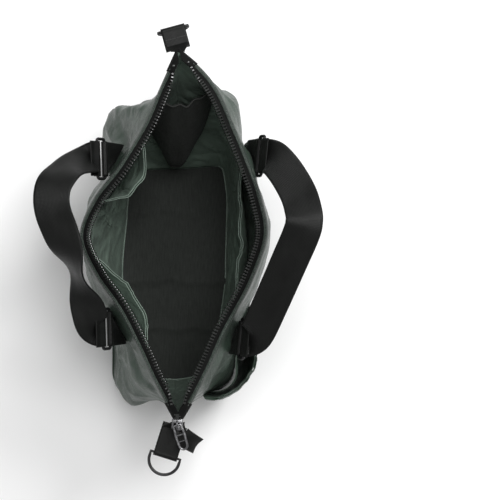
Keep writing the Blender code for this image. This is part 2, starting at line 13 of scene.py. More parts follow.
import bmesh
import bpy
from mathutils import Matrix, Vector, noise


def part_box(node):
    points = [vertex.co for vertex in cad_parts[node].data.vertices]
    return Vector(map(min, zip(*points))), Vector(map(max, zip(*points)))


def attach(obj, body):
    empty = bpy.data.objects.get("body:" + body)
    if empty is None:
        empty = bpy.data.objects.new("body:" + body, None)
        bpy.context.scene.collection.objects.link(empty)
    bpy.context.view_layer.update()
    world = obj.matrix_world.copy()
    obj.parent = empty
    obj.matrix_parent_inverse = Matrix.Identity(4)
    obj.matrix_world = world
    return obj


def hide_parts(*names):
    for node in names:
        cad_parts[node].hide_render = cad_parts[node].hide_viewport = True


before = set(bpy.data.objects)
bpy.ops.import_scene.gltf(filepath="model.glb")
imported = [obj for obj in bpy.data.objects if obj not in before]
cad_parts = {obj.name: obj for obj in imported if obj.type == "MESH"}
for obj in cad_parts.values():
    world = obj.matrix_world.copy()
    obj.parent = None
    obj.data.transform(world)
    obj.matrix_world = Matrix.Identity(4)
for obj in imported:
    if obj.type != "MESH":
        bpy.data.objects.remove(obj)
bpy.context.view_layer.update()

LOG = logging.getLogger("changing_bag")
UP = Vector((0.0, 0.0, 1.0))
UPRIGHT = (Vector((1, 0, 0)), Vector((0, 1, 0)), UP)
Place = Callable[[float, float], Vector]


class Side(Enum):
    """The two long walls of the bag."""

    BACK = -1
    FRONT = 1

    @property
    def word(self) -> str:
        """The side's name in the names of pieces."""
        return self.name.lower()


class End(Enum):
    """The two ends of the bag: the one with the zip's slider, and the one with the bottle pouch."""

    LOWER = -1
    UPPER = 1

    @property
    def word(self) -> str:
        """The end's name in the names of pieces."""
        return self.name.lower()


# ------------------------------------------------------------------------ lines and smoothing


def ease(value: float) -> float:
    """A smooth step from 0 to 1 of a value from 0 to 1."""
    value = max(0.0, min(1.0, value))
    return value * value * (3.0 - 2.0 * value)


def smooth_line(points: Sequence[Vector], steps: int = 8) -> list[Vector]:
    """A Catmull-Rom line through points.

    Args:
        points: The points that the line passes through.
        steps: How many pieces each span is cut into.

    Returns:
        The points of the smooth line.
    """
    ends = [points[0], *points, points[-1]]
    line = []
    for a, b, c, d in zip(ends, ends[1:], ends[2:], ends[3:]):
        for step in range(steps):
            u = step / steps
            line.append(0.5 * (2 * b + (c - a) * u + (2 * a - 5 * b + 4 * c - d) * u**2
                               + (3 * b - a - 3 * c + d) * u**3))
    return [*line, points[-1].copy()]


class Line:
    """A line of points that is read by the share of its length."""

    def __init__(self, points: Sequence[Vector]) -> None:
        """Keeps the points and the length up to each."""
        self.points = [p.copy() for p in points]
        self.reach = [0.0]
        for a, b in zip(self.points, self.points[1:]):
            self.reach.append(self.reach[-1] + (b - a).length)

    @property
    def length(self) -> float:
        """The whole length."""
        return self.reach[-1]

    def at(self, share: float) -> Vector:
        """The point at a share of the length."""
        goal = max(0.0, min(1.0, share)) * self.length
        low, high = 0, len(self.reach) - 1
        while high - low > 1:
            middle = (low + high) // 2
            if self.reach[middle] <= goal:
                low = middle
            else:
                high = middle
        span = self.reach[high] - self.reach[low]
        part = (goal - self.reach[low]) / span if span > 0 else 0.0
        return self.points[low].lerp(self.points[high], part)

    def tangent(self, share: float, step: float = 0.01) -> Vector:
        """The line's direction at a share of its length."""
        return (self.at(share + step) - self.at(share - step)).normalized()


# ------------------------------------------------------------------------ form of the body


@dataclass(frozen=True)
class Swell:
    """A place where a wall swells out between base and mouth."""

    share: float
    rise: float
    spread: float
    reach: float


@dataclass(frozen=True)
class Fold:
    """A fold or crease on a wall, from one place to another, in metres along and up the wall."""

    start: tuple[float, float]
    end: tuple[float, float]
    width: float
    reach: float

    def height(self, along: float, up: float) -> float:
        """How far the cloth stands out at a place."""
        ax, ay = self.start
        bx, by = self.end[0] - ax, self.end[1] - ay
        px, py = along - ax, up - ay
        span = bx * bx + by * by
        part = max(0.0, min(1.0, (px * bx + py * by) / span))
        far = math.hypot(px - bx * part, py - by * part)
        if far > 3 * self.width:
            return 0.0
        taper = math.sin(math.pi * (0.12 + 0.76 * part))
        return self.reach * taper * math.exp(-abs(far / self.width) ** 1.5)


@dataclass(frozen=True)
class Crinkle:
    """Soft waves and sharper creases that thin cloth settles into."""

    wave: float
    wave_size: float
    crease: float
    crease_size: float
    slant: float = 0.4
    seed: float = 0.0

    def height(self, along: float, up: float) -> float:
        """How far the cloth stands out at a place."""
        lean = along + self.slant * up
        low = noise.noise(Vector((lean / self.wave_size, up / (1.6 * self.wave_size), self.seed)))
        bend = 0.6 * noise.noise(Vector((along / 0.05, up / 0.05, self.seed + 7.0)))
        sharp = noise.noise(Vector((lean / self.crease_size + bend,
                                    up / (2.0 * self.crease_size), self.seed + 3.0)))
        across = noise.noise(Vector((up / self.crease_size - bend,
                                     along / (2.3 * self.crease_size), self.seed + 11.0)))
        ridge = 1.0 - min(1.0, 3.2 * abs(sharp))
        valley = 1.0 - min(1.0, 3.6 * abs(across))
        return self.wave * low + self.crease * (ridge**2 - 0.7 * valley**2)


@dataclass
class BodyForm:
    """The bag's outer face: a rounded base lofted up to an open, bowed mouth."""

    base_length: float = 0.350
    base_depth: float = 0.180
    base_corner: float = 0.028
    height: float = 0.300
    mouth_length: float = 0.468
    mouth_x: float = 0.020
    mouth_y: float = 0.0485
    bow: dict[Side, float] = field(
        default_factory=lambda: {Side.BACK: 0.122, Side.FRONT: 0.111})
    mouth_shape: dict[Side, tuple[tuple[float, float], ...]] = field(default_factory=lambda: {
        Side.BACK: ((-1, 0), (-0.77, 0.24), (-0.58, 0.41), (-0.38, 0.61), (-0.20, 0.85), (0, 1),
                    (0.20, 0.86), (0.37, 0.61), (0.60, 0.34), (0.78, 0.19), (1, 0)),
        Side.FRONT: ((-1, 0), (-0.86, 0.18), (-0.70, 0.35), (-0.50, 0.54), (-0.25, 0.82),
                     (0, 1), (0.20, 0.94), (0.37, 0.82), (0.58, 0.64), (0.77, 0.46),
                     (0.89, 0.27), (1, 0))})
    swells: dict[Side, tuple[Swell, ...]] = field(default_factory=lambda: {
        Side.BACK: (Swell(0.84, 0.50, 0.060, 0.036), Swell(0.64, 0.60, 0.120, 0.018),
                    Swell(0.42, 0.66, 0.140, 0.012), Swell(0.12, 0.45, 0.060, 0.026)),
        Side.FRONT: (Swell(0.85, 0.72, 0.090, 0.020), Swell(0.50, 0.70, 0.220, 0.014),
                     Swell(0.18, 0.60, 0.080, 0.008))})
    crinkle: dict[Side, Crinkle] = field(default_factory=lambda: {
        Side.BACK: Crinkle(0.0062, 0.075, 0.0030, 0.050, 0.5, 1.7),
        Side.FRONT: Crinkle(0.0050, 0.095, 0.0022, 0.060, -0.4, 5.3)})
    folds: dict[Side, tuple[Fold, ...]] = field(default_factory=lambda: {
        Side.BACK: (
            Fold((0.035, 0.215), (0.125, 0.150), 0.010, 0.0050),
            Fold((0.050, 0.270), (0.150, 0.235), 0.009, -0.0050),
            Fold((0.020, 0.150), (0.110, 0.090), 0.012, 0.0045),
            Fold((0.095, 0.245), (0.135, 0.120), 0.009, 0.0045),
            Fold((0.160, 0.285), (0.230, 0.225), 0.009, 0.0035),
            Fold((0.300, 0.285), (0.350, 0.190), 0.011, 0.0045),
            Fold((0.355, 0.290), (0.440, 0.210), 0.008, -0.0045),
            Fold((0.375, 0.270), (0.452, 0.150), 0.008, 0.0060),
            Fold((0.452, 0.270), (0.447, 0.110), 0.007, 0.0075),
            Fold((0.445, 0.165), (0.495, 0.095), 0.010, -0.0040),
            Fold((0.235, 0.180), (0.360, 0.110), 0.016, -0.0040),
            Fold((0.180, 0.120), (0.300, 0.060), 0.014, 0.0040)),
        Side.FRONT: (
            Fold((0.430, 0.280), (0.492, 0.160), 0.012, 0.0045),
            Fold((0.360, 0.285), (0.400, 0.190), 0.010, 0.0040),
            Fold((0.330, 0.290), (0.345, 0.210), 0.008, -0.0035),
            Fold((0.140, 0.280), (0.090, 0.215), 0.009, 0.0040),
            Fold((0.060, 0.285), (0.040, 0.190), 0.009, 0.0035),
            Fold((0.190, 0.200), (0.300, 0.120), 0.015, -0.0035),
            Fold((0.280, 0.090), (0.430, 0.050), 0.014, 0.0035))})

    def __post_init__(self) -> None:
        """Works out the half outlines of the base and the mouth."""
        self.base_line = {side: Line(self._half_base(side)) for side in Side}
        self.mouth_line = {side: Line(self._half_mouth(side)) for side in Side}

    @property
    def run(self) -> float:
        """Half the base's girth, which a share along a wall is a share of."""
        return self.base_length + self.base_depth

    def _half_base(self, side: Side) -> list[Vector]:
        """Half of the base's rounded rectangle, from its -Y end to its +Y end."""
        depth, length = self.base_depth / 2, self.base_length / 2
        corner = self.base_corner
        line = [Vector((0, -length, 0))]
        for end in (-1, 1):
            for step in range(13):
                turn = math.radians(7.5 * step)
                if end < 0:
                    turn = math.pi / 2 - turn
                line.append(Vector((side.value * (depth - corner + corner * math.cos(turn)),
                                    end * (length - corner + corner * math.sin(turn)), 0)))
        return [*line, Vector((0, length, 0))]

    def _half_mouth(self, side: Side) -> list[Vector]:
        """Half of the mouth, from its -Y end to its +Y end."""
        return smooth_line([Vector((self.mouth_x + side.value * self.bow[side] * out,
                                    self.mouth_y + self.mouth_length / 2 * place, 0))
                            for place, out in self.mouth_shape[side]])

    def swell(self, side: Side, share: float, rise: float) -> float:
        """How far a wall swells out at a share along it and a share up it."""
        total = 0.0
        for bulge in self.swells[side]:
            lifted = rise ** (math.log(0.5) / math.log(bulge.rise))
            across = math.exp(-((share - bulge.share) / bulge.spread) ** 2)
            total += bulge.reach * across * math.sin(math.pi * lifted)
        return total

    def straight(self, side: Side, share: float, rise: float) -> Vector:
        """A point on the wall pulled straight from base to mouth."""
        return self.base_line[side].at(share).lerp(self.mouth_line[side].at(share), rise)

    def point(self, side: Side, share: float, rise: float) -> Vector:
        """A point on the smooth outer face, at height 0."""
        here = self.straight(side, share, rise)
        way = self.straight(side, share + 0.01, rise) - self.straight(side, share - 0.01, rise)
        out = Vector((way.y, -way.x, 0)).normalized() * side.value
        fade = min(1.0, share / 0.12, (1 - share) / 0.12)
        return here + out * self.swell(side, share, rise) * fade

    def outward(self, side: Side, share: float, z: float) -> Vector:
        """The smooth outer face's normal."""
        rise = max(0.0, min(1.0, z / self.height))
        way = self.point(side, share + 0.012, rise) - self.point(side, share - 0.012, rise)
        over, under = min(1.0, rise + 0.02), max(0.0, rise - 0.02)
        up = self.point(side, share, over) - self.point(side, share, under)
        up.z = self.height * (over - under)
        return way.cross(up).normalized() * side.value

    def wall(self, side: Side, share: float, z: float, inset: float = 0.0) -> Vector:
        """A point inset from the smooth outer face, square to it."""
        here = self.point(side, share, max(0.0, min(1.0, z / self.height)))
        here.z = z
        return here - self.outward(side, share, z) * inset

    def drape(self, side: Side, share: float, z: float) -> float:
        """How far the folds and creases of the outer cloth stand out at a place."""
        calm = ease(z / 0.03) * ease((self.height - z) / 0.028)
        calm *= ease(share / 0.05) * ease((1 - share) / 0.05)
        along = share * self.run
        total = self.crinkle[side].height(along, z)
        total += sum(fold.height(along, z) for fold in self.folds[side])
        return total * calm

    def share_at(self, side: Side, y: float, z: float) -> float:
        """The share along a wall at which it passes y, at a height."""
        low, high = 0.0, 1.0
        for _ in range(24):
            middle = (low + high) / 2
            if self.wall(side, middle, z).y < y:
                low = middle
            else:
                high = middle
        return (low + high) / 2


FORM = BodyForm()


# ------------------------------------------------------------------------ finishes


class Nodes:
    """A small hand for wiring a material's nodes."""

    def __init__(self, name: str) -> None:
        """Starts a material with a Principled shader."""
        self.material = bpy.data.materials.new(name)
        self.material.use_nodes = True
        self.tree = self.material.node_tree
        self.shader = self.tree.nodes["Principled BSDF"]

    def add(self, kind: str, **settings: object) -> bpy.types.Node:
        """Adds a node and sets its own settings."""
        node = self.tree.nodes.new(kind)
        for key, value in settings.items():
            setattr(node, key, value)
        return node

    def join(self, out: bpy.types.NodeSocket, into: bpy.types.NodeSocket) -> None:
        """Links one socket to another."""
        self.tree.links.new(out, into)

    def points(self, source: str) -> bpy.types.NodeSocket:
        """The Object coordinates, or the piece's own UV map, both in metres."""
        if source == "Object":
            return self.add("ShaderNodeTexCoord").outputs["Object"]
        return self.add("ShaderNodeUVMap", uv_map=CLOTH_UV).outputs["UV"]

    def scaled(self, source: str, scale: tuple[float, float, float]) -> bpy.types.NodeSocket:
        """Coordinates scaled along each axis."""
        mapping = self.add("ShaderNodeMapping")
        mapping.inputs["Scale"].default_value = scale
        self.join(self.points(source), mapping.inputs["Vector"])
        return mapping.outputs["Vector"]

    def noise(self, source: str, size: float, detail: float = 3.0, distortion: float = 0.0,
              stretch: tuple[float, float, float] = (1.0, 1.0, 1.0)) -> bpy.types.NodeSocket:
        """Noise of a size in metres.

        Args:
            source: Object or UV coordinates.
            size: The size of its patches, in metres.
            detail: How many octaves.
            distortion: How much it is warped.
            stretch: How its coordinates are scaled along each axis.

        Returns:
            The noise's value.
        """
        node = self.add("ShaderNodeTexNoise")
        node.inputs["Scale"].default_value = 1.0 / size
        node.inputs["Detail"].default_value = detail
        node.inputs["Distortion"].default_value = distortion
        self.join(self.scaled(source, stretch), node.inputs["Vector"])
        return node.outputs["Fac"]

    def bands(self, source: str, pitch: float, axis: str, wobble: float = 0.0
              ) -> bpy.types.NodeSocket:
        """Even ribs of a pitch in metres along an axis."""
        node = self.add("ShaderNodeTexWave", wave_type="BANDS", bands_direction=axis,
                        wave_profile="SIN")
        node.inputs["Scale"].default_value = 1.0 / pitch / WAVE_UNIT
        node.inputs["Distortion"].default_value = wobble
        node.inputs["Detail"].default_value = 1.0
        self.join(self.points(source), node.inputs["Vector"])
        return node.outputs["Fac"]

    def maths(self, operation: str, first: bpy.types.NodeSocket,
              second: bpy.types.NodeSocket | float) -> bpy.types.NodeSocket:
        """One sum of two values."""
        node = self.add("ShaderNodeMath", operation=operation)
        self.join(first, node.inputs[0])
        if isinstance(second, float):
            node.inputs[1].default_value = second
        else:
            self.join(second, node.inputs[1])
        return node.outputs["Value"]

    def ramp(self, value: bpy.types.NodeSocket, low: float, high: float,
             to_low: float, to_high: float) -> bpy.types.NodeSocket:
        """A value's range mapped to another."""
        node = self.add("ShaderNodeMapRange")
        for name, amount in (("From Min", low), ("From Max", high),
                             ("To Min", to_low), ("To Max", to_high)):
            node.inputs[name].default_value = amount
        self.join(value, node.inputs["Value"])
        return node.outputs["Result"]

    def colours(self, value: bpy.types.NodeSocket,
                stops: Sequence[tuple[float, tuple[float, float, float]]]
                ) -> bpy.types.NodeSocket:
        """A value turned into colour."""
        node = self.add("ShaderNodeValToRGB")
        elements = node.color_ramp.elements
        while len(elements) < len(stops):
            elements.new(0.5)
        for element, (place, colour) in zip(elements, stops):
            element.position = place
            element.color = (*colour, 1.0)
        self.join(value, node.inputs["Fac"])
        return node.outputs["Color"]

    def bump(self, heights: Iterable[tuple[bpy.types.NodeSocket, float]]) -> None:
        """Stacks bumps, each a height socket and its depth in metres, onto the shader."""
        normal = None
        for height, depth in heights:
            node = self.add("ShaderNodeBump")
            node.inputs["Strength"].default_value = 1.0
            node.inputs["Distance"].default_value = depth
            self.join(height, node.inputs["Height"])
            if normal is not None:
                self.join(normal, node.inputs["Normal"])
            normal = node.outputs["Normal"]
        self.join(normal, self.shader.inputs["Normal"])

    def set(self, **values: float) -> None:
        """Sets the shader's own sockets, with underscores for spaces."""
        for key, value in values.items():
            self.shader.inputs[key.replace("_", " ")].default_value = value


CLOTH_UV = "cloth"
WAVE_UNIT = 20.0 / math.tau
Colour = tuple[float, float, float]


def tint(colour: Colour, by: float) -> Colour:
    """A colour made lighter or darker."""
    return (colour[0] * by, colour[1] * by, colour[2] * by)


@dataclass(frozen=True)
class CoatedNylon:
    """Thin coated nylon: crinkled, faintly woven, with a soft waxy sheen."""

    name: str
    colour: Colour
    roughness: float = 0.36
    crinkle: float = 0.0010
    weave: float = 0.00045
    specular: float = 0.24

    def make(self) -> bpy.types.Material:
        """Builds the material."""
        n = Nodes(self.name)
        patches = n.noise("Object", 0.055, 4.0, 0.6)
        stops = ((0.30, tint(self.colour, 0.78)), (0.52, self.colour),
                 (0.74, tint(self.colour, 1.22)))
        n.join(n.colours(patches, stops), n.shader.inputs["Base Color"])
        scuffs = n.noise("Object", 0.012, 5.0, 1.4)
        rough = n.ramp(scuffs, 0.30, 0.70, self.roughness - 0.07, self.roughness + 0.10)
        n.join(rough, n.shader.inputs["Roughness"])
        creases = n.noise("Object", 0.050, 2.0, 0.7)
        fine = n.noise("Object", 0.016, 2.0, 0.5)
        threads = n.maths("MULTIPLY", n.bands("UV", self.weave, "X"),
                          n.bands("UV", self.weave, "Y"))
        n.bump(((creases, self.crinkle * 5.0), (fine, self.crinkle * 0.45),
                (threads, self.weave * 0.10)))
        n.set(Sheen_Weight=0.02, Sheen_Roughness=0.45, Specular_IOR_Level=self.specular)
        return n.material


@dataclass(frozen=True)
class WovenCloth:
    """Matt plain-woven cloth whose threads show."""

    name: str
    colour: Colour
    pitch: float = 0.0016
    roughness: float = 0.78

    def make(self) -> bpy.types.Material:
        """Builds the material."""
        n = Nodes(self.name)
        warp = n.bands("UV", self.pitch, "X", 0.6)
        weft = n.bands("UV", self.pitch, "Y", 0.6)
        weave = n.maths("MULTIPLY", warp, weft)
        slub = n.noise("UV", 0.006, 3.0, 0.4, (3.2, 0.35, 1.0))
        mixed = n.maths("ADD", n.maths("MULTIPLY", weave, 0.35),
                        n.maths("MULTIPLY", slub, 0.65))
        stops = ((0.20, tint(self.colour, 0.62)), (0.45, self.colour),
                 (0.72, tint(self.colour, 1.55)))
        n.join(n.colours(mixed, stops), n.shader.inputs["Base Color"])
        creases = n.noise("Object", 0.040, 3.0, 1.8)
        n.bump(((creases, 0.0022), (weave, self.pitch * 0.16)))
        n.set(Roughness=self.roughness, Sheen_Weight=0.04, Sheen_Roughness=0.5,
              Specular_IOR_Level=0.35)
        return n.material


@dataclass(frozen=True)
class RibbedWebbing:
    """Flat nylon webbing: fine ribs across it, a herringbone drift and a satin gloss."""

    name: str
    colour: Colour
    rib: float = 0.0014
    roughness: float = 0.42
    specular: float = 0.5

    def make(self) -> bpy.types.Material:
        """Builds the material."""
        n = Nodes(self.name)
        ribs = n.bands("UV", self.rib, "Y")
        cords = n.bands("UV", self.rib * 1.15, "X")
        weave = n.maths("MULTIPLY", ribs, cords)
        wear = n.noise("UV", 0.016, 4.0, 0.5, (1.0, 0.4, 1.0))
        mixed = n.maths("ADD", n.maths("MULTIPLY", weave, 0.5),
                        n.maths("MULTIPLY", wear, 0.5))
        stops = ((0.16, tint(self.colour, 0.55)), (0.42, self.colour),
                 (0.75, tint(self.colour, 1.60)))
        n.join(n.colours(mixed, stops), n.shader.inputs["Base Color"])
        rough = n.ramp(wear, 0.3, 0.7, self.roughness - 0.05, self.roughness + 0.12)
        n.join(rough, n.shader.inputs["Roughness"])
        n.bump(((weave, self.rib * 0.13), (wear, 0.0002)))
        n.set(Sheen_Weight=0.02, Sheen_Roughness=0.4, Specular_IOR_Level=self.specular,
              Anisotropic=0.35)
        return n.material


@dataclass(frozen=True)
class Moulded:
    """Injection-moulded plastic, its tone and gloss varying a little in soft patches."""

    name: str
    colour: Colour
    roughness: float = 0.30

    def make(self) -> bpy.types.Material:
        """Builds the material."""
        n = Nodes(self.name)
        grain = n.noise("Object", 0.0012, 3.0)
        dust = n.noise("Object", 0.020, 4.0, 0.8)
        stops = ((0.35, tint(self.colour, 0.75)), (0.65, tint(self.colour, 1.35)))
        n.join(n.colours(dust, stops), n.shader.inputs["Base Color"])
        rough = n.ramp(dust, 0.3, 0.7, self.roughness - 0.06, self.roughness + 0.10)
        n.join(rough, n.shader.inputs["Roughness"])
        n.bump(((grain, 0.00006),))
        n.set(Specular_IOR_Level=0.6)
        return n.material


@dataclass(frozen=True)
class Metal:
    """Plated or lacquered metal with fine rubbed scratches."""

    name: str
    colour: Colour
    bright: Colour
    roughness: float = 0.30
    metallic: float = 1.0

    def make(self) -> bpy.types.Material:
        """Builds the material."""
        n = Nodes(self.name)
        rubbed = n.noise("Object", 0.0045, 5.0, 1.0)
        scratches = n.noise("Object", 0.0010, 2.0, 0.0, (1.0, 6.0, 1.0))
        stops = ((0.48, self.colour), (0.70, self.bright))
        n.join(n.colours(rubbed, stops), n.shader.inputs["Base Color"])
        rough = n.ramp(scratches, 0.3, 0.7, self.roughness - 0.08, self.roughness + 0.10)
        n.join(rough, n.shader.inputs["Roughness"])
        n.bump(((scratches, 0.00004),))
        n.set(Metallic=self.metallic, Specular_IOR_Level=0.6)
        return n.material


@dataclass(frozen=True)
class Thread:
    """Sewing thread, twisted."""

    name: str
    colour: Colour

    def make(self) -> bpy.types.Material:
        """Builds the material."""
        n = Nodes(self.name)
        twist = n.noise("Object", 0.0008, 2.0, 0.5)
        stops = ((0.3, tint(self.colour, 0.7)), (0.7, tint(self.colour, 1.3)))
        n.join(n.colours(twist, stops), n.shader.inputs["Base Color"])
        n.bump(((twist, 0.0001),))
        n.set(Roughness=0.6, Sheen_Weight=0.3)
        return n.material


@dataclass(frozen=True)
class Board:
    """Grey stiffener board with a pressed grain."""

    name: str
    colour: Colour

    def make(self) -> bpy.types.Material:
        """Builds the material."""
        n = Nodes(self.name)
        grain = n.noise("Object", 0.003, 4.0, 0.3)
        stops = ((0.3, tint(self.colour, 0.8)), (0.7, tint(self.colour, 1.2)))
        n.join(n.colours(grain, stops), n.shader.inputs["Base Color"])
        n.bump(((grain, 0.0002),))
        n.set(Roughness=0.7)
        return n.material


SHELL = CoatedNylon("shell_nylon", (0.037, 0.058, 0.043), 0.36).make()
FACING = CoatedNylon("facing_nylon", (0.024, 0.034, 0.027), 0.44).make()
# The lining's colour is much lighter than the shell nylon's. The lift is mostly painted light, standing
# in for light that the studio doesn't bring onto the inner walls and slip pockets.
LINING_PAINTED_LIGHT = CoatedNylon("lining_nylon", (0.150, 0.198, 0.164), 0.34, 0.0013, specular=0.5).make()
FLOOR_CLOTH = WovenCloth("floor_cloth", (0.0225, 0.0255, 0.0225)).make()
POUCH_CLOTH = WovenCloth("pouch_cloth", (0.017, 0.0185, 0.0165), 0.0014, 0.60).make()
WEBBING = RibbedWebbing("webbing", (0.0058, 0.0062, 0.0058), 0.0014, 0.38, 0.16).make()
TAPE = RibbedWebbing("zip_tape", (0.0042, 0.0045, 0.0042), 0.0012, 0.72, 0.12).make()
TEETH = Moulded("zip_teeth", (0.014, 0.0147, 0.014), 0.20).make()
LACQUER = Metal("black_metal", (0.008, 0.008, 0.0085), (0.020, 0.020, 0.021), 0.46, 0.40).make()
GUNMETAL = Metal("gunmetal", (0.14, 0.14, 0.145), (0.40, 0.40, 0.41), 0.30).make()
THREAD = Thread("green_thread", (0.044, 0.060, 0.049)).make()
BLACK_THREAD = Thread("black_thread", (0.014, 0.015, 0.014)).make()
BOARD = Board("base_board", (0.030, 0.030, 0.030)).make()


# ------------------------------------------------------------------------ makers of meshes


def new_piece(name: str, shape: bmesh.types.BMesh, material: bpy.types.Material,
              flat_above: float = 45.0) -> bpy.types.Object:
    """Makes an object of a bmesh, smooth except at sharp edges.

    Args:
        name: The piece's name.
        shape: The mesh, which is freed.
        material: Its finish.
        flat_above: Edges that turn by more than this many degrees stay sharp.

    Returns:
        The new object, at the origin.
    """
    mesh = bpy.data.meshes.new(name)
    shape.to_mesh(mesh)
    shape.free()
    mesh.materials.append(material)
    mesh.shade_smooth()
    mesh.set_sharp_from_angle(angle=math.radians(flat_above))
    thing = bpy.data.objects.new(name, mesh)
    bpy.context.scene.collection.objects.link(thing)
    return thing


def dress(piece: bpy.types.Object, body: str, slot: str, *nodes: str) -> bpy.types.Object:
    """Puts a piece on its body, in place of CAD nodes, and reports it."""
    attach(piece, body)
    if nodes:
        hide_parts(*nodes)
    LOG.info("%s rides on %s", piece.name, body)
    return piece


def thicken(piece: bpy.types.Object, thickness: float, offset: float = -1.0) -> None:
    """Gives cloth its thickness, behind its facing side unless offset says otherwise."""
    solid = piece.modifiers.new("thickness", "SOLIDIFY")
    solid.thickness = thickness
    solid.offset = offset


def cloth(name: str, place: Place, cells: tuple[int, int], size: tuple[float, float],
          material: bpy.types.Material, away_from: Callable[[Vector], Vector],
          thickness: float, offset: float = -1.0) -> bpy.types.Object:
    """A sheet of cloth: a grid whose every point is put in place, with its weave's own map.

    Args:
        name: The piece's name.
        place: Gives the point at two shares of the sheet.
        cells: How many cells each way.
        size: The sheet's flat size in metres.
        material: Its finish.
        away_from: Gives, for a point, the point that the facing side looks away from.
        thickness: The cloth's thickness.
        offset: Where the thickness goes: -1 behind the facing side, 0 to both sides.

    Returns:
        The new object.
    """
    shape = bmesh.new()
    bmesh.ops.create_grid(shape, x_segments=cells[0], y_segments=cells[1], size=0.5)
    layer = shape.loops.layers.uv.new(CLOTH_UV)
    for face in shape.faces:
        for loop in face.loops:
            flat = loop.vert.co
            loop[layer].uv = ((flat.x + 0.5) * size[0], (flat.y + 0.5) * size[1])
    for vert in shape.verts:
        vert.co = place(vert.co.x + 0.5, vert.co.y + 0.5)
    shape.normal_update()
    facing = 0.0
    for face in shape.faces:
        middle = face.calc_center_median()
        facing += face.normal.dot(middle - away_from(middle)) * face.calc_area()
    if facing < 0:
        bmesh.ops.reverse_faces(shape, faces=shape.faces)
    piece = new_piece(name, shape, material, 60.0)
    thicken(piece, thickness, offset)
    return piece


def from_axis(point: Vector) -> Vector:
    """The bag's upright middle line beside a point, which outer cloth looks away from."""
    return Vector((0.02 * point.z / 0.3, max(-0.09, min(0.11, 0.9 * point.y)), point.z))


def from_outside(point: Vector) -> Vector:
    """A place outside the bag beside a point, which inner cloth looks away from."""
    return point + (point - from_axis(point))


def tube(name: str, points: Sequence[Vector], radius: float, material: bpy.types.Material,
         closed: bool = False, sides: int = 5) -> bpy.types.Object:
    """Round bar or cord along a line of points, as a mesh.

    Args:
        name: The piece's name.
        points: Its middle line.
        radius: Its radius.
        material: Its finish.
        closed: Whether it is a ring.
        sides: The roundness of its section.

    Returns:
        The new object.
    """
    curve = bpy.data.curves.new(name, "CURVE")
    curve.dimensions = "3D"
    curve.bevel_depth = radius
    curve.bevel_resolution = sides
    curve.use_fill_caps = not closed
    spline = curve.splines.new("POLY")
    spline.points.add(len(points) - 1)
    for point, at in zip(spline.points, points):
        point.co = (*at, 1)
    spline.use_cyclic_u = closed
    maker = bpy.data.objects.new(name + "_line", curve)
    bpy.context.scene.collection.objects.link(maker)
    bpy.context.view_layer.update()
    mesh = bpy.data.meshes.new_from_object(maker)
    bpy.data.objects.remove(maker)
    shape = bmesh.new()
    shape.from_mesh(mesh)
    bpy.data.meshes.remove(mesh)
    bmesh.ops.remove_doubles(shape, verts=shape.verts, dist=1e-6)
    bmesh.ops.recalc_face_normals(shape, faces=shape.faces)
    return new_piece(name, shape, material, 50.0)


def add_block(shape: bmesh.types.BMesh, size: Sequence[float], at: Vector,
              axes: tuple[Vector, Vector, Vector], bevel: float = 0.0,
              segments: int = 1) -> None:
    """Adds a rounded box to a mesh.

    Args:
        shape: The mesh that it is added to.
        size: Its size along each of its own axes.
        at: Its middle.
        axes: Its own axes.
        bevel: How far its edges are rounded.
        segments: How many cuts round an edge.
    """
    turn = Matrix([axes[0], axes[1], axes[2]]).transposed().to_4x4()
    matrix = Matrix.Translation(at) @ turn @ Matrix.Diagonal((*size, 1.0))
    made = bmesh.ops.create_cube(shape, size=1.0, matrix=matrix)
    if bevel:
        edges = list({edge for vert in made["verts"] for edge in vert.link_edges})
        bmesh.ops.bevel(shape, geom=edges, offset=bevel, segments=segments, profile=0.5,
                        affect="EDGES", material=-1)


def axes_from(along: Vector, up: Vector) -> tuple[Vector, Vector, Vector]:
    """Three square axes: the first along a direction, the third as near another as can be."""
    first = along.normalized()
    second = up.cross(first).normalized()
    return first, second, first.cross(second)


def stitches(name: str, line: Line, lift: Callable[[float], Vector],
             material: bpy.types.Material, pitch: float = 0.0034,
             thread: float = 0.0007) -> bpy.types.Object:
    """A row of sewn stitches along a line.

    Args:
        name: The piece's name.
        line: The line, on the cloth.
        lift: Gives the cloth's normal at a share of the line.
        material: The thread's finish.
        pitch: The length of a stitch and its gap.
        thread: The thread's thickness.

    Returns:
        The new object.
    """
    shape = bmesh.new()
    count = max(2, round(line.length / pitch))
    for i in range(count):
        share = (i + 0.5) / count
        axes = axes_from(line.tangent(share, 0.4 / count), lift(share))
        at = line.at(share) + axes[2] * thread * 0.3
        add_block(shape, (pitch * 0.68, thread, thread), at, axes, thread * 0.3)
    return new_piece(name, shape, material, 30.0)


def rounded_place(u: float, v: float, depth: float, length: float, corner: float) -> Vector:
    """A point of a filled rounded rectangle at two shares of it."""
    x, y = (2 * u - 1) * depth, (2 * v - 1) * length
    dx, dy = abs(x) - (depth - corner), abs(y) - (length - corner)
    if dx > 0 and dy > 0:
        pull = max(dx, dy) / math.hypot(dx, dy)
        x = math.copysign(depth - corner + dx * pull, x)
        y = math.copysign(length - corner + dy * pull, y)
    return Vector((x, y, 0))


# ------------------------------------------------------------------------ body of the bag


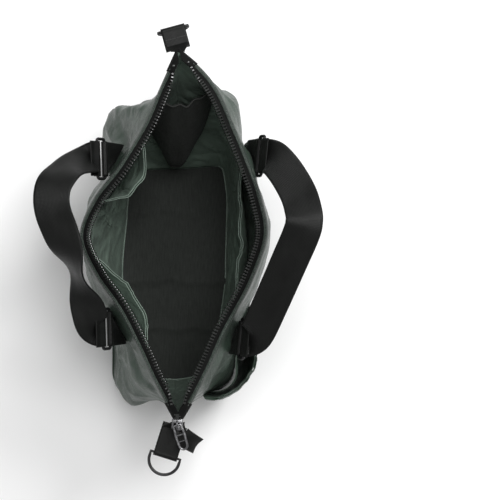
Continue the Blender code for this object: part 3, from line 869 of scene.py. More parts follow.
@dataclass
class Shell:
    """The outer cloth: two draped walls, the corded seams up the ends, and the stiffened base."""

    thickness: float = 0.0016
    low: float = 0.0024
    top_turn: float = 0.0006
    cord: float = 0.0024
    base_thickness: float = 0.0018
    base_cord: float = 0.0021
    columns: int = 190
    rows: int = 84

    def build_wall(self, side: Side) -> bpy.types.Object:
        """One long wall, from end seam to end seam."""
        def place(u: float, v: float) -> Vector:
            z = self.low + (FORM.height - self.top_turn - self.low) * v
            return FORM.wall(side, u, z, -FORM.drape(side, u, z))

        return cloth(f"shell_{side.word}", place, (self.columns, self.rows),
                     (FORM.run, FORM.height), SHELL, from_axis, self.thickness)

    def build_seam(self, end: End) -> bpy.types.Object:
        """The corded seam up one end."""
        share = 0.0 if end is End.LOWER else 1.0
        line = []
        for step in range(41):
            z = self.low + 0.002 + (FORM.height - self.low - 0.004) * step / 40
            line.append(FORM.wall(Side.FRONT, share, z) + Vector((0, end.value * 0.0006, 0)))
        return tube(f"end_piping_{end.word}", line, self.cord, SHELL)

    def build_base(self) -> bpy.types.Object:
        """The cloth under the base."""
        def place(u: float, v: float) -> Vector:
            point = rounded_place(u, v, FORM.base_depth / 2, FORM.base_length / 2,
                                  FORM.base_corner)
            edge = min(u, 1 - u, v, 1 - v)
            sag = 0.0007 * (1 - ease(edge / 0.03))
            point.z = sag + self.base_thickness * 0.02
            return point

        return cloth("base_cloth", place, (60, 110), (FORM.base_depth, FORM.base_length),
                     FLOOR_CLOTH, lambda point: point + UP, self.base_thickness)

    def build_base_piping(self) -> bpy.types.Object:
        """The cord sewn round the foot of the walls."""
        line = []
        for side, shares in ((Side.FRONT, range(0, 120)), (Side.BACK, range(120, 0, -1))):
            for step in shares:
                point = FORM.base_line[side].at(step / 120)
                point.z = self.base_cord + 0.0009
                line.append(point)
        return tube("base_piping", line, self.base_cord, SHELL, closed=True)

    def build(self) -> None:
        """Builds and dresses the outer cloth."""
        for side in Side:
            dress(self.build_wall(side), "bag", "shell_nylon", f"{side.word}_panel")
        for end in End:
            dress(self.build_seam(end), "bag", "shell_nylon", f"end_seam_{end.word}")
        dress(self.build_base(), "bag", "black_cloth", "base_panel")
        dress(self.build_base_piping(), "bag", "shell_nylon")
        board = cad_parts["base_board"]
        board.data.materials.clear()
        board.data.materials.append(BOARD)


@dataclass
class Lining:
    """The inner cloth: loose walls with their own folds, and the woven floor over the board."""

    thickness: float = 0.0010
    gap: float = 0.0024
    low: float = 0.0053
    own: dict[Side, Crinkle] = field(default_factory=lambda: {
        Side.BACK: Crinkle(0.0040, 0.065, 0.0024, 0.042, 0.9, 21.0),
        Side.FRONT: Crinkle(0.0034, 0.075, 0.0020, 0.046, -0.8, 33.0)})
    folds: dict[Side, tuple[Fold, ...]] = field(default_factory=lambda: {
        Side.BACK: (
            Fold((0.020, 0.250), (0.075, 0.120), 0.008, 0.0050),
            Fold((0.050, 0.270), (0.090, 0.160), 0.006, 0.0035),
            Fold((0.262, 0.265), (0.300, 0.120), 0.012, 0.0080),
            Fold((0.285, 0.250), (0.335, 0.150), 0.009, 0.0060),
            Fold((0.318, 0.240), (0.320, 0.060), 0.010, 0.0060),
            Fold((0.455, 0.270), (0.470, 0.130), 0.008, 0.0050)),
        Side.FRONT: (
            Fold((0.018, 0.240), (0.080, 0.130), 0.010, 0.0060),
            Fold((0.040, 0.265), (0.110, 0.190), 0.007, 0.0050),
            Fold((0.120, 0.260), (0.150, 0.150), 0.009, 0.0040),
            Fold((0.395, 0.250), (0.425, 0.110), 0.012, 0.0070),
            Fold((0.430, 0.240), (0.480, 0.180), 0.008, 0.0045))})

    slack: dict[Side, tuple[tuple[float, float], ...]] = field(default_factory=lambda: {
        Side.BACK: ((0.0, 0.014), (0.14, 0.016), (0.30, 0.012), (0.50, 0.010), (0.68, 0.016),
                    (0.82, 0.024), (1.0, 0.024)),
        Side.FRONT: ((0.0, 0.014), (0.12, 0.022), (0.28, 0.024), (0.50, 0.013), (0.70, 0.010),
                     (0.85, 0.018), (1.0, 0.024))})

    def foot(self, side: Side, share: float, z: float) -> float:
        """How far the lining lies in over the floor before it rises."""
        stops = self.slack[side]
        reach = stops[-1][1]
        for (near, low), (far, high) in zip(stops, stops[1:]):
            if share <= far:
                reach = low + (high - low) * ease((share - near) / (far - near))
                break
        return reach * math.exp(-(max(0.0, z - self.low) / 0.055) ** 1.4)

    def inset(self, side: Side, share: float, z: float) -> float:
        """How far the lining's outer side lies in from the smooth outer face."""
        along = share * FORM.run
        calm = ease((z - self.low) / 0.025) * ease((FORM.height - z) / 0.022)
        calm *= ease(share / 0.04) * ease((1 - share) / 0.04)
        loose = abs(self.own[side].height(along, z))
        loose += sum(fold.height(along, z) for fold in self.folds[side])
        return (self.gap + loose * calm + self.foot(side, share, z)
                - min(0.0, FORM.drape(side, share, z)))

    def build_wall(self, side: Side) -> bpy.types.Object:
        """One wall of lining."""
        def place(u: float, v: float) -> Vector:
            z = self.low + (FORM.height - 0.0008 - self.low) * v
            point = FORM.wall(side, u, z, self.inset(side, u, z) + self.thickness)
            point.z = max(point.z, self.low + self.thickness + 0.0022)
            return point

        return cloth(f"lining_cloth_{side.word}", place, (170, 80), (FORM.run, FORM.height),
                     LINING_PAINTED_LIGHT, from_outside, self.thickness)

    def build_floor(self) -> bpy.types.Object:
        """The inner floor: woven cloth with a few soft creases across it."""
        creases = ((-0.012, 0.0034, 0.007), (-0.082, 0.0030, 0.006), (0.090, 0.0022, 0.008))

        def place(u: float, v: float) -> Vector:
            inset = 0.0045
            point = rounded_place(u, v, FORM.base_depth / 2 - inset,
                                  FORM.base_length / 2 - inset, FORM.base_corner - inset)
            rise = 0.0006 + 0.0010 * noise.noise(Vector((point.x / 0.05, point.y / 0.06, 4.0)))
            for y, reach, width in creases:
                bent = y + 0.006 * noise.noise(Vector((point.x / 0.03, y * 40.0, 2.0)))
                rise += reach * math.exp(-((point.y - bent) / width) ** 2)
            edge = min(u, 1 - u, v, 1 - v)
            point.z = self.low + self.thickness + max(0.0, rise) * ease(edge / 0.06)
            return point

        return cloth("inner_floor", place, (70, 120), (FORM.base_depth, FORM.base_length),
                     FLOOR_CLOTH, lambda point: point - UP, self.thickness)

    def build_floor_seam(self) -> bpy.types.Object:
        """The bound seam where the lining's walls meet the floor, in the lining's colour with its
        painted light.
        """
        line = []
        for side, shares in ((Side.FRONT, range(0, 90)), (Side.BACK, range(90, 0, -1))):
            for step in shares:
                share = step / 90
                z = self.low + 0.0036
                inset = self.inset(side, share, z) + self.thickness
                point = FORM.wall(side, share, z, inset + 0.0008)
                point.z = z
                line.append(point)
        return tube("floor_seam", line, 0.0010, LINING_PAINTED_LIGHT, closed=True, sides=3)

    def build(self) -> None:
        """Builds and dresses the inner cloth."""
        for side in Side:
            dress(self.build_wall(side), "bag", "lining_nylon", f"lining_{side.word}")
        dress(self.build_floor(), "bag", "black_cloth", "lining_base")
        dress(self.build_floor_seam(), "bag", "lining_nylon")


SHELL_CLOTH = Shell()
INNER = Lining()


# ------------------------------------------------------------------------ zip


@dataclass
class Zip:
    """The chunky moulded zip: facing, tape and its ends, teeth, stops, slider, pull and tail."""

    seat: float = 0.0024
    facing: float = 0.0048
    facing_tuck: float = 0.30
    facing_drop: float = 0.0035
    tape: float = 0.0072
    tooth_reach: float = 0.0052
    tooth_width: float = 0.0024
    tooth_height: float = 0.0034
    pitch: float = 0.0040
    start: float = 0.026
    end_gap: float = 0.0006
    end_lap: float = 0.004
    end_share: float = 0.013
    end_widen: float = 0.016
    end_rise: float = 0.020
    end_lift: float = 0.0050
    end_turn_down: float = 0.0030
    fold_drop: float = 0.0050
    fold_length: float = 0.0175
    fold_inside: float = 0.0060
    fold_sway: float = 0.0009
    tape_over: float = 0.0022
    tape_in: float = 0.0080
    gap: float = 0.0004
    columns: int = 170
    chain_width: float = 0.0085
    chain_length: float = 0.026
    slider_size: tuple[float, float, float] = (0.0135, 0.0140, 0.0080)
    pull_length: float = 0.031
    pull_width: float = 0.0115
    pull_bar: float = 0.0016
    tail_width: float = 0.024
    tail_length: float = 0.024
    pull_way: Vector = field(default_factory=lambda: Vector((0.30, -0.954, 0)))
    pull_across: Vector = field(default_factory=lambda: Vector((0.954, 0.30, 0)))

    def outward(self, side: Side, share: float) -> Vector:
        """The mouth's outward direction, seen from above."""
        way = FORM.point(side, share + 0.012, 1.0) - FORM.point(side, share - 0.012, 1.0)
        return Vector((way.y, -way.x, 0)).normalized() * side.value

    def point(self, side: Side, share: float, reach: float, lift: float = 0.0) -> Vector:
        """A point on the slope of the open zip, a reach from the wall's top edge."""
        run = min(share, 1 - share) * FORM.run
        inset = min(reach * 0.82, 0.30 * (run - 0.004))
        out = self.outward(side, share)
        at = FORM.point(side, share, 1.0) - out * inset
        at.z = FORM.height + self.seat + math.sqrt(max(0.0, reach**2 - inset**2))
        slope = inset / max(reach, 1e-6)
        return at + (out * math.sqrt(max(0.0, 1 - slope**2)) + UP * slope) * lift

    def span(self, part: float) -> float:
        """The share along the wall at a part of the zip's open length."""
        first = self.start / FORM.run
        return first + (1 - 2 * first) * part

    def build_facing(self, side: Side) -> bpy.types.Object:
        """The strip of shell cloth from over the wall's edge to the tape, puckered by its stitching."""
        def place(u: float, v: float) -> Vector:
            share = self.span(u)
            if v < self.facing_tuck:
                foot = self.point(side, share, 0.0) + self.outward(side, share) * 0.0010
                foot.z -= (self.seat + self.facing_drop) * (1 - v / self.facing_tuck)
                return foot
            v = (v - self.facing_tuck) / (1 - self.facing_tuck)
            pucker = 0.0004 * math.sin(math.tau * u * FORM.run / 0.011)
            pucker += 0.0008 * noise.noise(Vector((u * 22.0, v * 1.5, side.value + 3.0)))
            roll = 0.0009 * math.sin(math.pi * v)
            return self.point(side, share, self.facing * v, pucker * v + roll)

        piece = cloth(f"mouth_facing_{side.word}", place, (self.columns * 2, 10),
                      (FORM.run, self.facing), FACING, from_axis, 0.0014)
        return piece

    def build_tape(self, side: Side) -> bpy.types.Object:
        """The woven tape that carries the teeth."""
        near = self.facing + self.gap

        def place(u: float, v: float) -> Vector:
            return self.point(side, self.span(u), near + self.tape * v,
                              0.0003 * math.sin(math.pi * v))

        return cloth(f"zip_ribbon_{side.word}", place, (self.columns, 4),
                     (FORM.run, self.tape), TAPE, from_axis, 0.0010)

    def build_teeth(self, side: Side) -> bpy.types.Object:
        """The moulded teeth, each a rounded block with a fatter head."""
        shape = bmesh.new()
        near = self.facing + self.tape + self.gap
        count = round(FORM.run * (self.span(1.0) - self.span(0.0)) / self.pitch)
        shift = 0.0 if side is Side.BACK else 0.5
        for i in range(count):
            share = self.span((i + shift + 0.25) / (count + 0.75))
            low = self.point(side, share, near - 0.0012)
            high = self.point(side, share, near + self.tooth_reach)
            along = self.point(side, share + 0.004, near) - self.point(side, share - 0.004, near)
            axes = axes_from(high - low, along.cross(high - low) * side.value)
            middle = low.lerp(high, 0.46)
            size = ((high - low).length * 0.92, self.tooth_width * 0.74, self.tooth_height * 0.8)
            add_block(shape, size, middle, axes, 0.00028)
            add_block(shape, (0.0022, self.tooth_width, self.tooth_height),
                      low.lerp(high, 0.80), axes, 0.00045)
        return new_piece(f"zip_comb_{side.word}", shape, TEETH, 30.0)

    def build_stitching(self, side: Side) -> bpy.types.Object:
        """The row of stitches along the facing."""
        line = Line([self.point(side, self.span(i / 240), self.facing * 0.62, 0.0012)
                     for i in range(241)])

        def lift(share: float) -> Vector:
            at = self.span(share)
            return self.point(side, at, self.facing, 0.01) - self.point(side, at, self.facing)

        return stitches(f"facing_stitches_{side.word}", line, lift, THREAD)

    def build_end_tape(self, side: Side, end: End) -> bpy.types.Object:
        """The tape's own end, turned over the mouth's edge beyond the last tooth."""
        sign = end.value

        def place(u: float, v: float) -> Vector:
            run = self.end_gap + (self.start + self.end_lap) * u
            share = run / FORM.run if sign < 0 else 1 - run / FORM.run
            out = self.outward(side, min(max(share, self.end_share), 1 - self.end_share))
            reach = self.tape_over - (self.tape_over + self.tape_in * ease(run / self.end_widen)) * v
            lift = self.seat + 0.0010 + self.end_lift * v * ease(run / self.end_rise)
            at = FORM.point(side, share, 1.0) + out * reach
            at.z = FORM.height + lift - self.end_turn_down * (1 - ease(v * 3))
            return at

        return cloth(f"zip_end_{side.word}_{end.word}", place, (24, 12),
                     (self.start, self.tape_in), TAPE, lambda point: point - UP, 0.0010)

    @property
    def chain_start(self) -> Vector:
        """Where the two rows of teeth come together."""
        return Vector((FORM.mouth_x,
                       FORM.mouth_y - FORM.mouth_length / 2 + self.start * 0.55,
                       FORM.height + self.seat + self.facing + self.tape))

    @property
    def slider_middle(self) -> Vector:
        """The middle of the slider, half-way along the joined teeth."""
        return self.chain_start - Vector((0, self.chain_length / 2, 0))

    def build_chain(self) -> bpy.types.Object:
        """The joined teeth past the slider, over a strip of folded tape."""
        shape = bmesh.new()
        axes = UPRIGHT
        at = self.slider_middle
        add_block(shape, (self.chain_width * 0.46, self.chain_length, 0.0018), at, axes, 0.0003)
        count = round(self.chain_length / (self.pitch / 2))
        for i in range(count):
            y = self.chain_start.y - self.chain_length * (i + 0.5) / count
            lean = self.chain_width * (0.11 if i % 2 else -0.11)
            add_block(shape, (self.chain_width * 0.76, self.pitch * 0.36, 0.0024),
                      Vector((at.x + lean, y, at.z)), axes, 0.0003)
        return new_piece("zip_closed_teeth", shape, TEETH, 30.0)

    def build_fold(self) -> bpy.types.Object:
        """The pair of tapes under the joined teeth, folded down to the end tab."""
        end = FORM.mouth_y - FORM.mouth_length / 2
        low, high = FORM.height - self.fold_drop, self.chain_start.z - self.slider_size[2] / 2

        def place(u: float, v: float) -> Vector:
            sway = self.fold_sway * math.sin(math.tau * 0.8 * u + 1.0) * (1 - v)
            return Vector((FORM.mouth_x + sway, end + self.fold_inside - self.fold_length * u,
                           low + (high - 0.0010 - low) * v))

        return cloth("zip_tape_fold", place, (16, 10), (self.fold_length, high - low), TAPE,
                     lambda point: point - Vector((1, 0, 0)), 0.0024, 0.0)

    def build_slider(self) -> bpy.types.Object:
        """The slider: two rounded plates held apart, with flared shoulders."""
        shape = bmesh.new()
        at = self.slider_middle
        width, length, height = self.slider_size
        axes = UPRIGHT
        for level in (-1, 1):
            middle = at + UP * level * (height / 2 - 0.0009)
            add_block(shape, (width, length * 0.62, 0.0018),
                      middle + Vector((0, length * 0.17, 0)), axes, 0.0008, 3)
            add_block(shape, (width * 0.74, length * 0.72, 0.0018),
                      middle - Vector((0, length * 0.13, 0)), axes, 0.0008, 3)
        for edge in (-1, 1):
            add_block(shape, (0.0011, length * 0.66, height - 0.0012),
                      at + Vector((edge * (width / 2 - 0.0006), -0.0004, 0)), axes, 0.0004, 2)
        return new_piece("slider_body", shape, GUNMETAL, 40.0)

    def build_bridge(self) -> bpy.types.Object:
        """The arched loop on the slider that holds the pull."""
        at = self.slider_middle
        _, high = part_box("zip_bridge")
        foot, top = at.z + self.slider_size[2] / 2 - 0.0006, high[2] - 0.0009
        half = 0.0050
        line = [Vector((at.x, at.y - half, foot)), Vector((at.x, at.y - half, foot + 0.0018)),
                Vector((at.x, at.y - half * 0.72, top - 0.0008)), Vector((at.x, at.y, top)),
                Vector((at.x, at.y + half * 0.72, top - 0.0008)),
                Vector((at.x, at.y + half, foot + 0.0018)), Vector((at.x, at.y + half, foot))]
        return tube("slider_bridge", smooth_line(line, 6), 0.0009, GUNMETAL)

    def build_pull(self) -> bpy.types.Object:
        """The ladder pull: two long bars, a rung across them and a rounded open end."""
        low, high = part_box("zip_pull")
        level = (low[2] + high[2]) / 2
        slider = self.slider_middle
        axis = Vector((slider.x, slider.y, level))
        half = self.pull_width / 2
        end = axis + self.pull_way * (self.pull_length - half)
        rim = [axis - self.pull_across * half * 0.80,
               axis - self.pull_across * half * 0.80 + self.pull_way * 0.003,
               axis - self.pull_across * half * 0.95 + self.pull_way * 0.012]
        for step in range(13):
            turn = math.radians(180 - 15 * step)
            rim.append(end + self.pull_across * half * 0.86 * math.cos(turn)
                       + self.pull_way * half * math.sin(turn))
        rim += [axis + self.pull_across * half * 0.95 + self.pull_way * 0.012,
                axis + self.pull_across * half * 0.80 + self.pull_way * 0.003,
                axis + self.pull_across * half * 0.80]
        piece = tube("pull_frame", rim, self.pull_bar * 0.86, GUNMETAL, closed=True)
        shape = bmesh.new()
        shape.from_mesh(piece.data)
        axes = (self.pull_across, self.pull_way, UP)
        for reach, wide in ((0.0125, 0.0016), (0.0205, 0.0013)):
            add_block(shape, (self.pull_width * 0.92, wide, 0.0018), axis + self.pull_way * reach,
                      axes, 0.0005, 2)
        shape.to_mesh(piece.data)
        shape.free()
        return piece

    def build_stop(self, side: Side) -> bpy.types.Object:
        """A moulded stop at the far end of a row of teeth."""
        low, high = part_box(f"zip_stop_{side.word}")
        shape = bmesh.new()
        size = tuple(high[i] - low[i] for i in range(3))
        middle = Vector([(high[i] + low[i]) / 2 for i in range(3)])
        add_block(shape, size, middle, UPRIGHT, 0.0009, 3)
        return new_piece(f"top_stop_{side.word}", shape, TEETH, 40.0)

    def build_tail(self) -> bpy.types.Object:
        """The folded tail of tape beyond the joined teeth, curling down at its corner."""
        root = self.chain_start + Vector((0.006, -self.chain_length - 0.0015, 0))
        way, across = Vector((0.80, -0.60, 0)), Vector((0.60, 0.80, 0))

        def place(u: float, v: float) -> Vector:
            curl = -0.012 * v**2 - 0.0035 * v * (2 * u - 1) ** 2
            ripple = 0.0010 * math.sin(math.pi * 3 * u) * v
            return (root + way * self.tail_length * v * (1 - 0.10 * math.sin(math.pi * u))
                    + across * self.tail_width * (u - 0.5) * (1 - 0.10 * v)
                    + UP * (curl + ripple))

        return cloth("zip_tail", place, (22, 22), (self.tail_width, self.tail_length), WEBBING,
                     lambda point: point - UP, 0.0014, 0.0)

    def build(self) -> None:
        """Builds and dresses the zip."""
        for side in Side:
            word = side.word
            dress(self.build_facing(side), "bag", "shell_nylon", f"zip_facing_{word}")
            dress(self.build_tape(side), "bag", "zip_tape", f"zip_tape_{word}")
            dress(self.build_teeth(side), "bag", "moulded_black", f"zip_teeth_{word}")
            dress(self.build_stitching(side), "bag", "shell_nylon")
            dress(self.build_stop(side), "bag", "moulded_black", f"zip_stop_{word}")
            for end in End:
                dress(self.build_end_tape(side, end), "bag", "zip_tape")
        dress(self.build_chain(), "bag", "moulded_black", "zip_chain_end")
        dress(self.build_fold(), "bag", "zip_tape")
        dress(self.build_slider(), "slider", "gunmetal", "zip_slider")
        dress(self.build_bridge(), "slider", "gunmetal", "zip_bridge")
        dress(self.build_pull(), "pull", "gunmetal", "zip_pull")
        dress(self.build_tail(), "bag", "webbing", "zip_tail_tab")


# ------------------------------------------------------------------------ webbing and rings


@dataclass(frozen=True)
class Bar:
    """The bar sizes of the rings, and how webbing closes round them."""

    radius: float = 0.0020
    opening: float = 0.0100
    side_gap: float = 0.0020
    loop_gap: float = 0.0007
    webbing: float = 0.0014

    def loop(self, bar: Vector, along: Vector, lead: Vector, tail: float,
             radius: float | None = None) -> list[Vector]:
        """A strip's middle line round a bar, from its sewn tail round the bar's far side.

        Args:
            bar: A point on the bar's middle line.
            along: The bar's direction.
            lead: From the bar towards the strip's own run.
            tail: How far the sewn tail runs.
            radius: The bar's radius, where it isn't a ring's.

        Returns:
            The points, ending beside the bar where the strip runs on.
        """
        up = along.cross(lead).normalized()
        close = self.loop_gap + self.webbing / 2
        reach = (radius or self.radius) + close
        line = [bar + lead * tail - up * close, bar + lead * (tail * 0.55) - up * close]
        for step in range(13):
            turn = math.radians(-60 - 20 * step)
            line.append(bar + lead * reach * math.cos(turn) + up * reach * math.sin(turn))
        return line


BAR = Bar()


def ribbon(name: str, centres: Sequence[Vector], across: Sequence[Vector], width: float,
           cells: tuple[int, int], material: bpy.types.Material,
           away_from: Callable[[Vector], Vector], thickness: float) -> bpy.types.Object:
    """Webbing: a strip of even width along a line of centres, its width direction at each.

    Args:
        name: The piece's name.
        centres: The points of its middle line.
        across: Its width direction at each point.
        width: Its width.
        cells: How many cells across and along.
        material: Its finish.
        away_from: As in cloth.
        thickness: Its thickness.

    Returns:
        The new object.
    """
    middle = Line(centres)
    turns = [a.normalized() for a in across]

    def place(u: float, v: float) -> Vector:
        goal = v * middle.length
        index = 0
        while index < len(middle.reach) - 2 and middle.reach[index + 1] < goal:
            index += 1
        span = middle.reach[index + 1] - middle.reach[index]
        part = (goal - middle.reach[index]) / span if span > 0 else 0.0
        turn = turns[index].lerp(turns[index + 1], max(0.0, min(1.0, part))).normalized()
        return middle.at(v) + turn * width * (u - 0.5)

    return cloth(name, place, cells, (width, middle.length), material, away_from, thickness,
                 0.0)


@dataclass
class Handle:
    """One webbing handle: its strap, two rings, and the webbing sewn down the wall."""

    side: Side
    lower_y: float
    upper_y: float
    reach: float
    rise: float
    standoff: float
    rolls: tuple[tuple[float, float, float], ...]
    shape: tuple[tuple[float, float], ...]
    width: float = 0.044
    axis_z: float = 0.280
    top_z: float = 0.268
    low_z: float = 0.130
    loop_tail: float = 0.014
    anchor_tail: float = 0.009
    anchor_gap: float = 0.0014

    def __post_init__(self) -> None:
        """Finds the ring bars, the axis they turn on and the way the handle stands."""
        self.bars = []
        for y in (self.lower_y, self.upper_y):
            share = FORM.share_at(self.side, y, self.top_z)
            bar = FORM.wall(self.side, share, self.top_z, -self.standoff)
            bar.z = self.axis_z
            self.bars.append(bar)
        self.across = (self.bars[1] - self.bars[0]).normalized()
        out = Vector((self.across.y, -self.across.x, 0)) * self.side.value
        self.way = (out * self.reach + UP * self.rise).normalized()
        self.length = math.hypot(self.reach, self.rise)

    def build_ring(self, bar: Vector, word: str) -> bpy.types.Object:
        """A rectangular ring with rounded corners."""
        half = (self.width + BAR.side_gap) / 2 + BAR.radius
        height = BAR.opening + 2 * BAR.radius
        corner = 0.0034
        points = []
        for x, y, turn in ((-1, 0, 180), (1, 0, 270), (1, 1, 0), (-1, 1, 90)):
            middle = (bar + self.across * x * (half - corner)
                      + self.way * (corner + y * (height - 2 * corner)))
            for step in range(7):
                angle = math.radians(turn + 15 * step)
                points.append(middle + self.across * corner * math.cos(angle)
                              + self.way * corner * math.sin(angle))
        return tube(f"strap_ring_{self.side.word}_{word}", points, BAR.radius, LACQUER,
                    closed=True)

    def strap_line(self) -> tuple[list[Vector], list[Vector]]:
        """The strap's middle line and its width direction at each point."""
        tops = [bar + self.way * (BAR.opening + 2 * BAR.radius) for bar in self.bars]
        lower, upper = [BAR.loop(top, self.across * self.side.value, self.way, self.loop_tail)
                        for top in tops]
        first, last = upper[-1], lower[-1]
        span = first - last
        run = smooth_line([last + span * place + self.way * self.length * lift
                           for place, lift in self.shape], 8)[1:-1]
        level = []
        for before, here, after in zip(run, run[1:], run[2:]):
            tangent = (after - before).normalized()
            part = (here - last).dot(self.across) / span.length
            roll = sum(turn * math.exp(-((part - place) / spread) ** 2)
                       for place, spread, turn in self.rolls)
            edge = tangent.cross(Vector((0, 0, -self.side.value))).normalized()
            level.append(edge * math.cos(roll) + tangent.cross(edge) * math.sin(roll))
        centres = [*upper, *run, *lower[::-1]]
        widths = [self.across] * (len(upper) + 1) + level + [-self.across] * (len(lower) + 1)
        for _ in range(6):
            inner = widths[len(upper) + 1:-len(lower) - 1]
            soft = [(a + b * 2 + c).normalized() for a, b, c in zip(
                [self.across, *inner], inner, [*inner[1:], -self.across])]
            widths[len(upper) + 1:-len(lower) - 1] = soft
        return centres, widths

    def build_strap(self) -> bpy.types.Object:
        """The strap from ring to ring."""
        centres, widths = self.strap_line()
        return ribbon(f"strap_{self.side.word}", centres, widths, self.width, (14, 260), WEBBING,
                      from_axis, BAR.webbing)

    def build_anchor(self, bar: Vector, word: str) -> bpy.types.Object:
        """Webbing sewn down the wall, looped at its top round a ring's lower bar."""
        side = self.side
        share = FORM.share_at(side, bar.y, self.top_z)
        down = FORM.wall(side, share, self.top_z - 0.02) - FORM.wall(side, share, self.top_z)
        down = (down - self.across * down.dot(self.across)).normalized()
        looped = BAR.loop(bar, self.across * side.value, down, self.anchor_tail)
        lies = []
        for step in range(13):
            z = self.top_z - 1.5 * self.anchor_tail
            z += (self.low_z - z) * step / 12
            lies.append((FORM.share_at(side, bar.y, z), z))
        turn = Line([*looped, *[self.lie(*lie, 0.0) for lie in lies]])
        loop_share = turn.reach[len(looped) - 1] / turn.length
        first_lie = turn.reach[len(looped)] / turn.length

        def place(u: float, v: float) -> Vector:
            if v <= loop_share:
                return turn.at(v) + self.across * self.width * (u - 0.5)
            part = (v - first_lie) / (1 - first_lie)
            if part < 0:
                near = looped[-1] + self.across * self.width * (u - 0.5)
                far = self.lie(*lies[0], self.width * (u - 0.5))
                return near.lerp(far, (v - loop_share) / (first_lie - loop_share))
            at = part * (len(lies) - 1)
            low = min(int(at), len(lies) - 2)
            share_here = lies[low][0] + (lies[low + 1][0] - lies[low][0]) * (at - low)
            z = lies[low][1] + (lies[low + 1][1] - lies[low][1]) * (at - low)
            return self.lie(share_here, z, self.width * (u - 0.5))

        return cloth(f"strap_anchor_{side.word}_{word}", place, (14, 120),
                     (self.width, turn.length), WEBBING, from_axis, BAR.webbing, 0.0)

    def lie(self, share: float, z: float, aside: float) -> Vector:
        """A point of the webbing that lies on the wall, over the wall's own folds."""
        at = share + aside / FORM.run
        drape = max(0.0, FORM.drape(self.side, share, z), FORM.drape(self.side, at, z))
        return FORM.wall(self.side, at, z, -self.anchor_gap - BAR.webbing / 2 - drape)

    def build_sewing(self, bar: Vector, word: str) -> bpy.types.Object:
        """The boxed row of stitches that holds an anchor to the wall."""
        corners = []
        for aside, z in ((-1, 0.236), (1, 0.236), (1, 0.142), (-1, 0.142), (-1, 0.236),
                         (1, 0.142)):
            share = FORM.share_at(self.side, bar.y, z)
            corners.append((share, z, aside * (self.width / 2 - 0.003)))
        points = []
        for a, b in zip(corners, corners[1:]):
            for step in range(24):
                part = step / 24
                share, z, aside = (x + (y - x) * part for x, y in zip(a, b))
                here = self.lie(share, z, aside)
                points.append(here + FORM.outward(self.side, share, z) * BAR.webbing / 2)
        line = Line(points)

        def lift(share: float) -> Vector:
            return line.at(share) - from_axis(line.at(share))

        return stitches(f"anchor_stitches_{self.side.word}_{word}", line, lift, BLACK_THREAD)

    def build_loop_sewing(self, index: int, word: str) -> bpy.types.Object:
        """Two rows of stitches across the strap's folded end, just past its ring."""
        centres, _ = self.strap_line()
        line = Line(centres)
        reach = (0.026, 0.031)
        places = []
        for far in reach:
            share = far / line.length
            places.append(share if index else 1 - share)
        shape = bmesh.new()
        for share in places:
            here = line.at(share)
            tangent = line.tangent(share, 0.004)
            side = self.across
            normal = tangent.cross(side).normalized()
            if normal.dot(here - from_axis(here)) < 0:
                normal = -normal
            count = 12
            for i in range(count):
                at = here + side * self.width * 0.9 * ((i + 0.5) / count - 0.5)
                axes = axes_from(side, normal)
                add_block(shape, (0.0026, 0.0007, 0.0007), at + axes[2] * BAR.webbing * 0.62,
                          axes, 0.0002)
        return new_piece(f"strap_stitches_{self.side.word}_{word}", shape, BLACK_THREAD, 30.0)

    def build(self) -> None:
        """Builds and dresses the handle."""
        word = self.side.word
        body = f"handle_{word}"
        dress(self.build_strap(), body, "webbing", f"handle_{word}")
        for index, (bar, end) in enumerate(zip(self.bars, ("lower", "upper"))):
            dress(self.build_ring(bar, end), body, "black_metal", f"handle_ring_{word}_{end}")
            dress(self.build_anchor(bar, end), "bag", "webbing", f"handle_anchor_{word}_{end}")
            dress(self.build_sewing(bar, end), "bag", "webbing")
            dress(self.build_loop_sewing(index, end), body, "webbing")


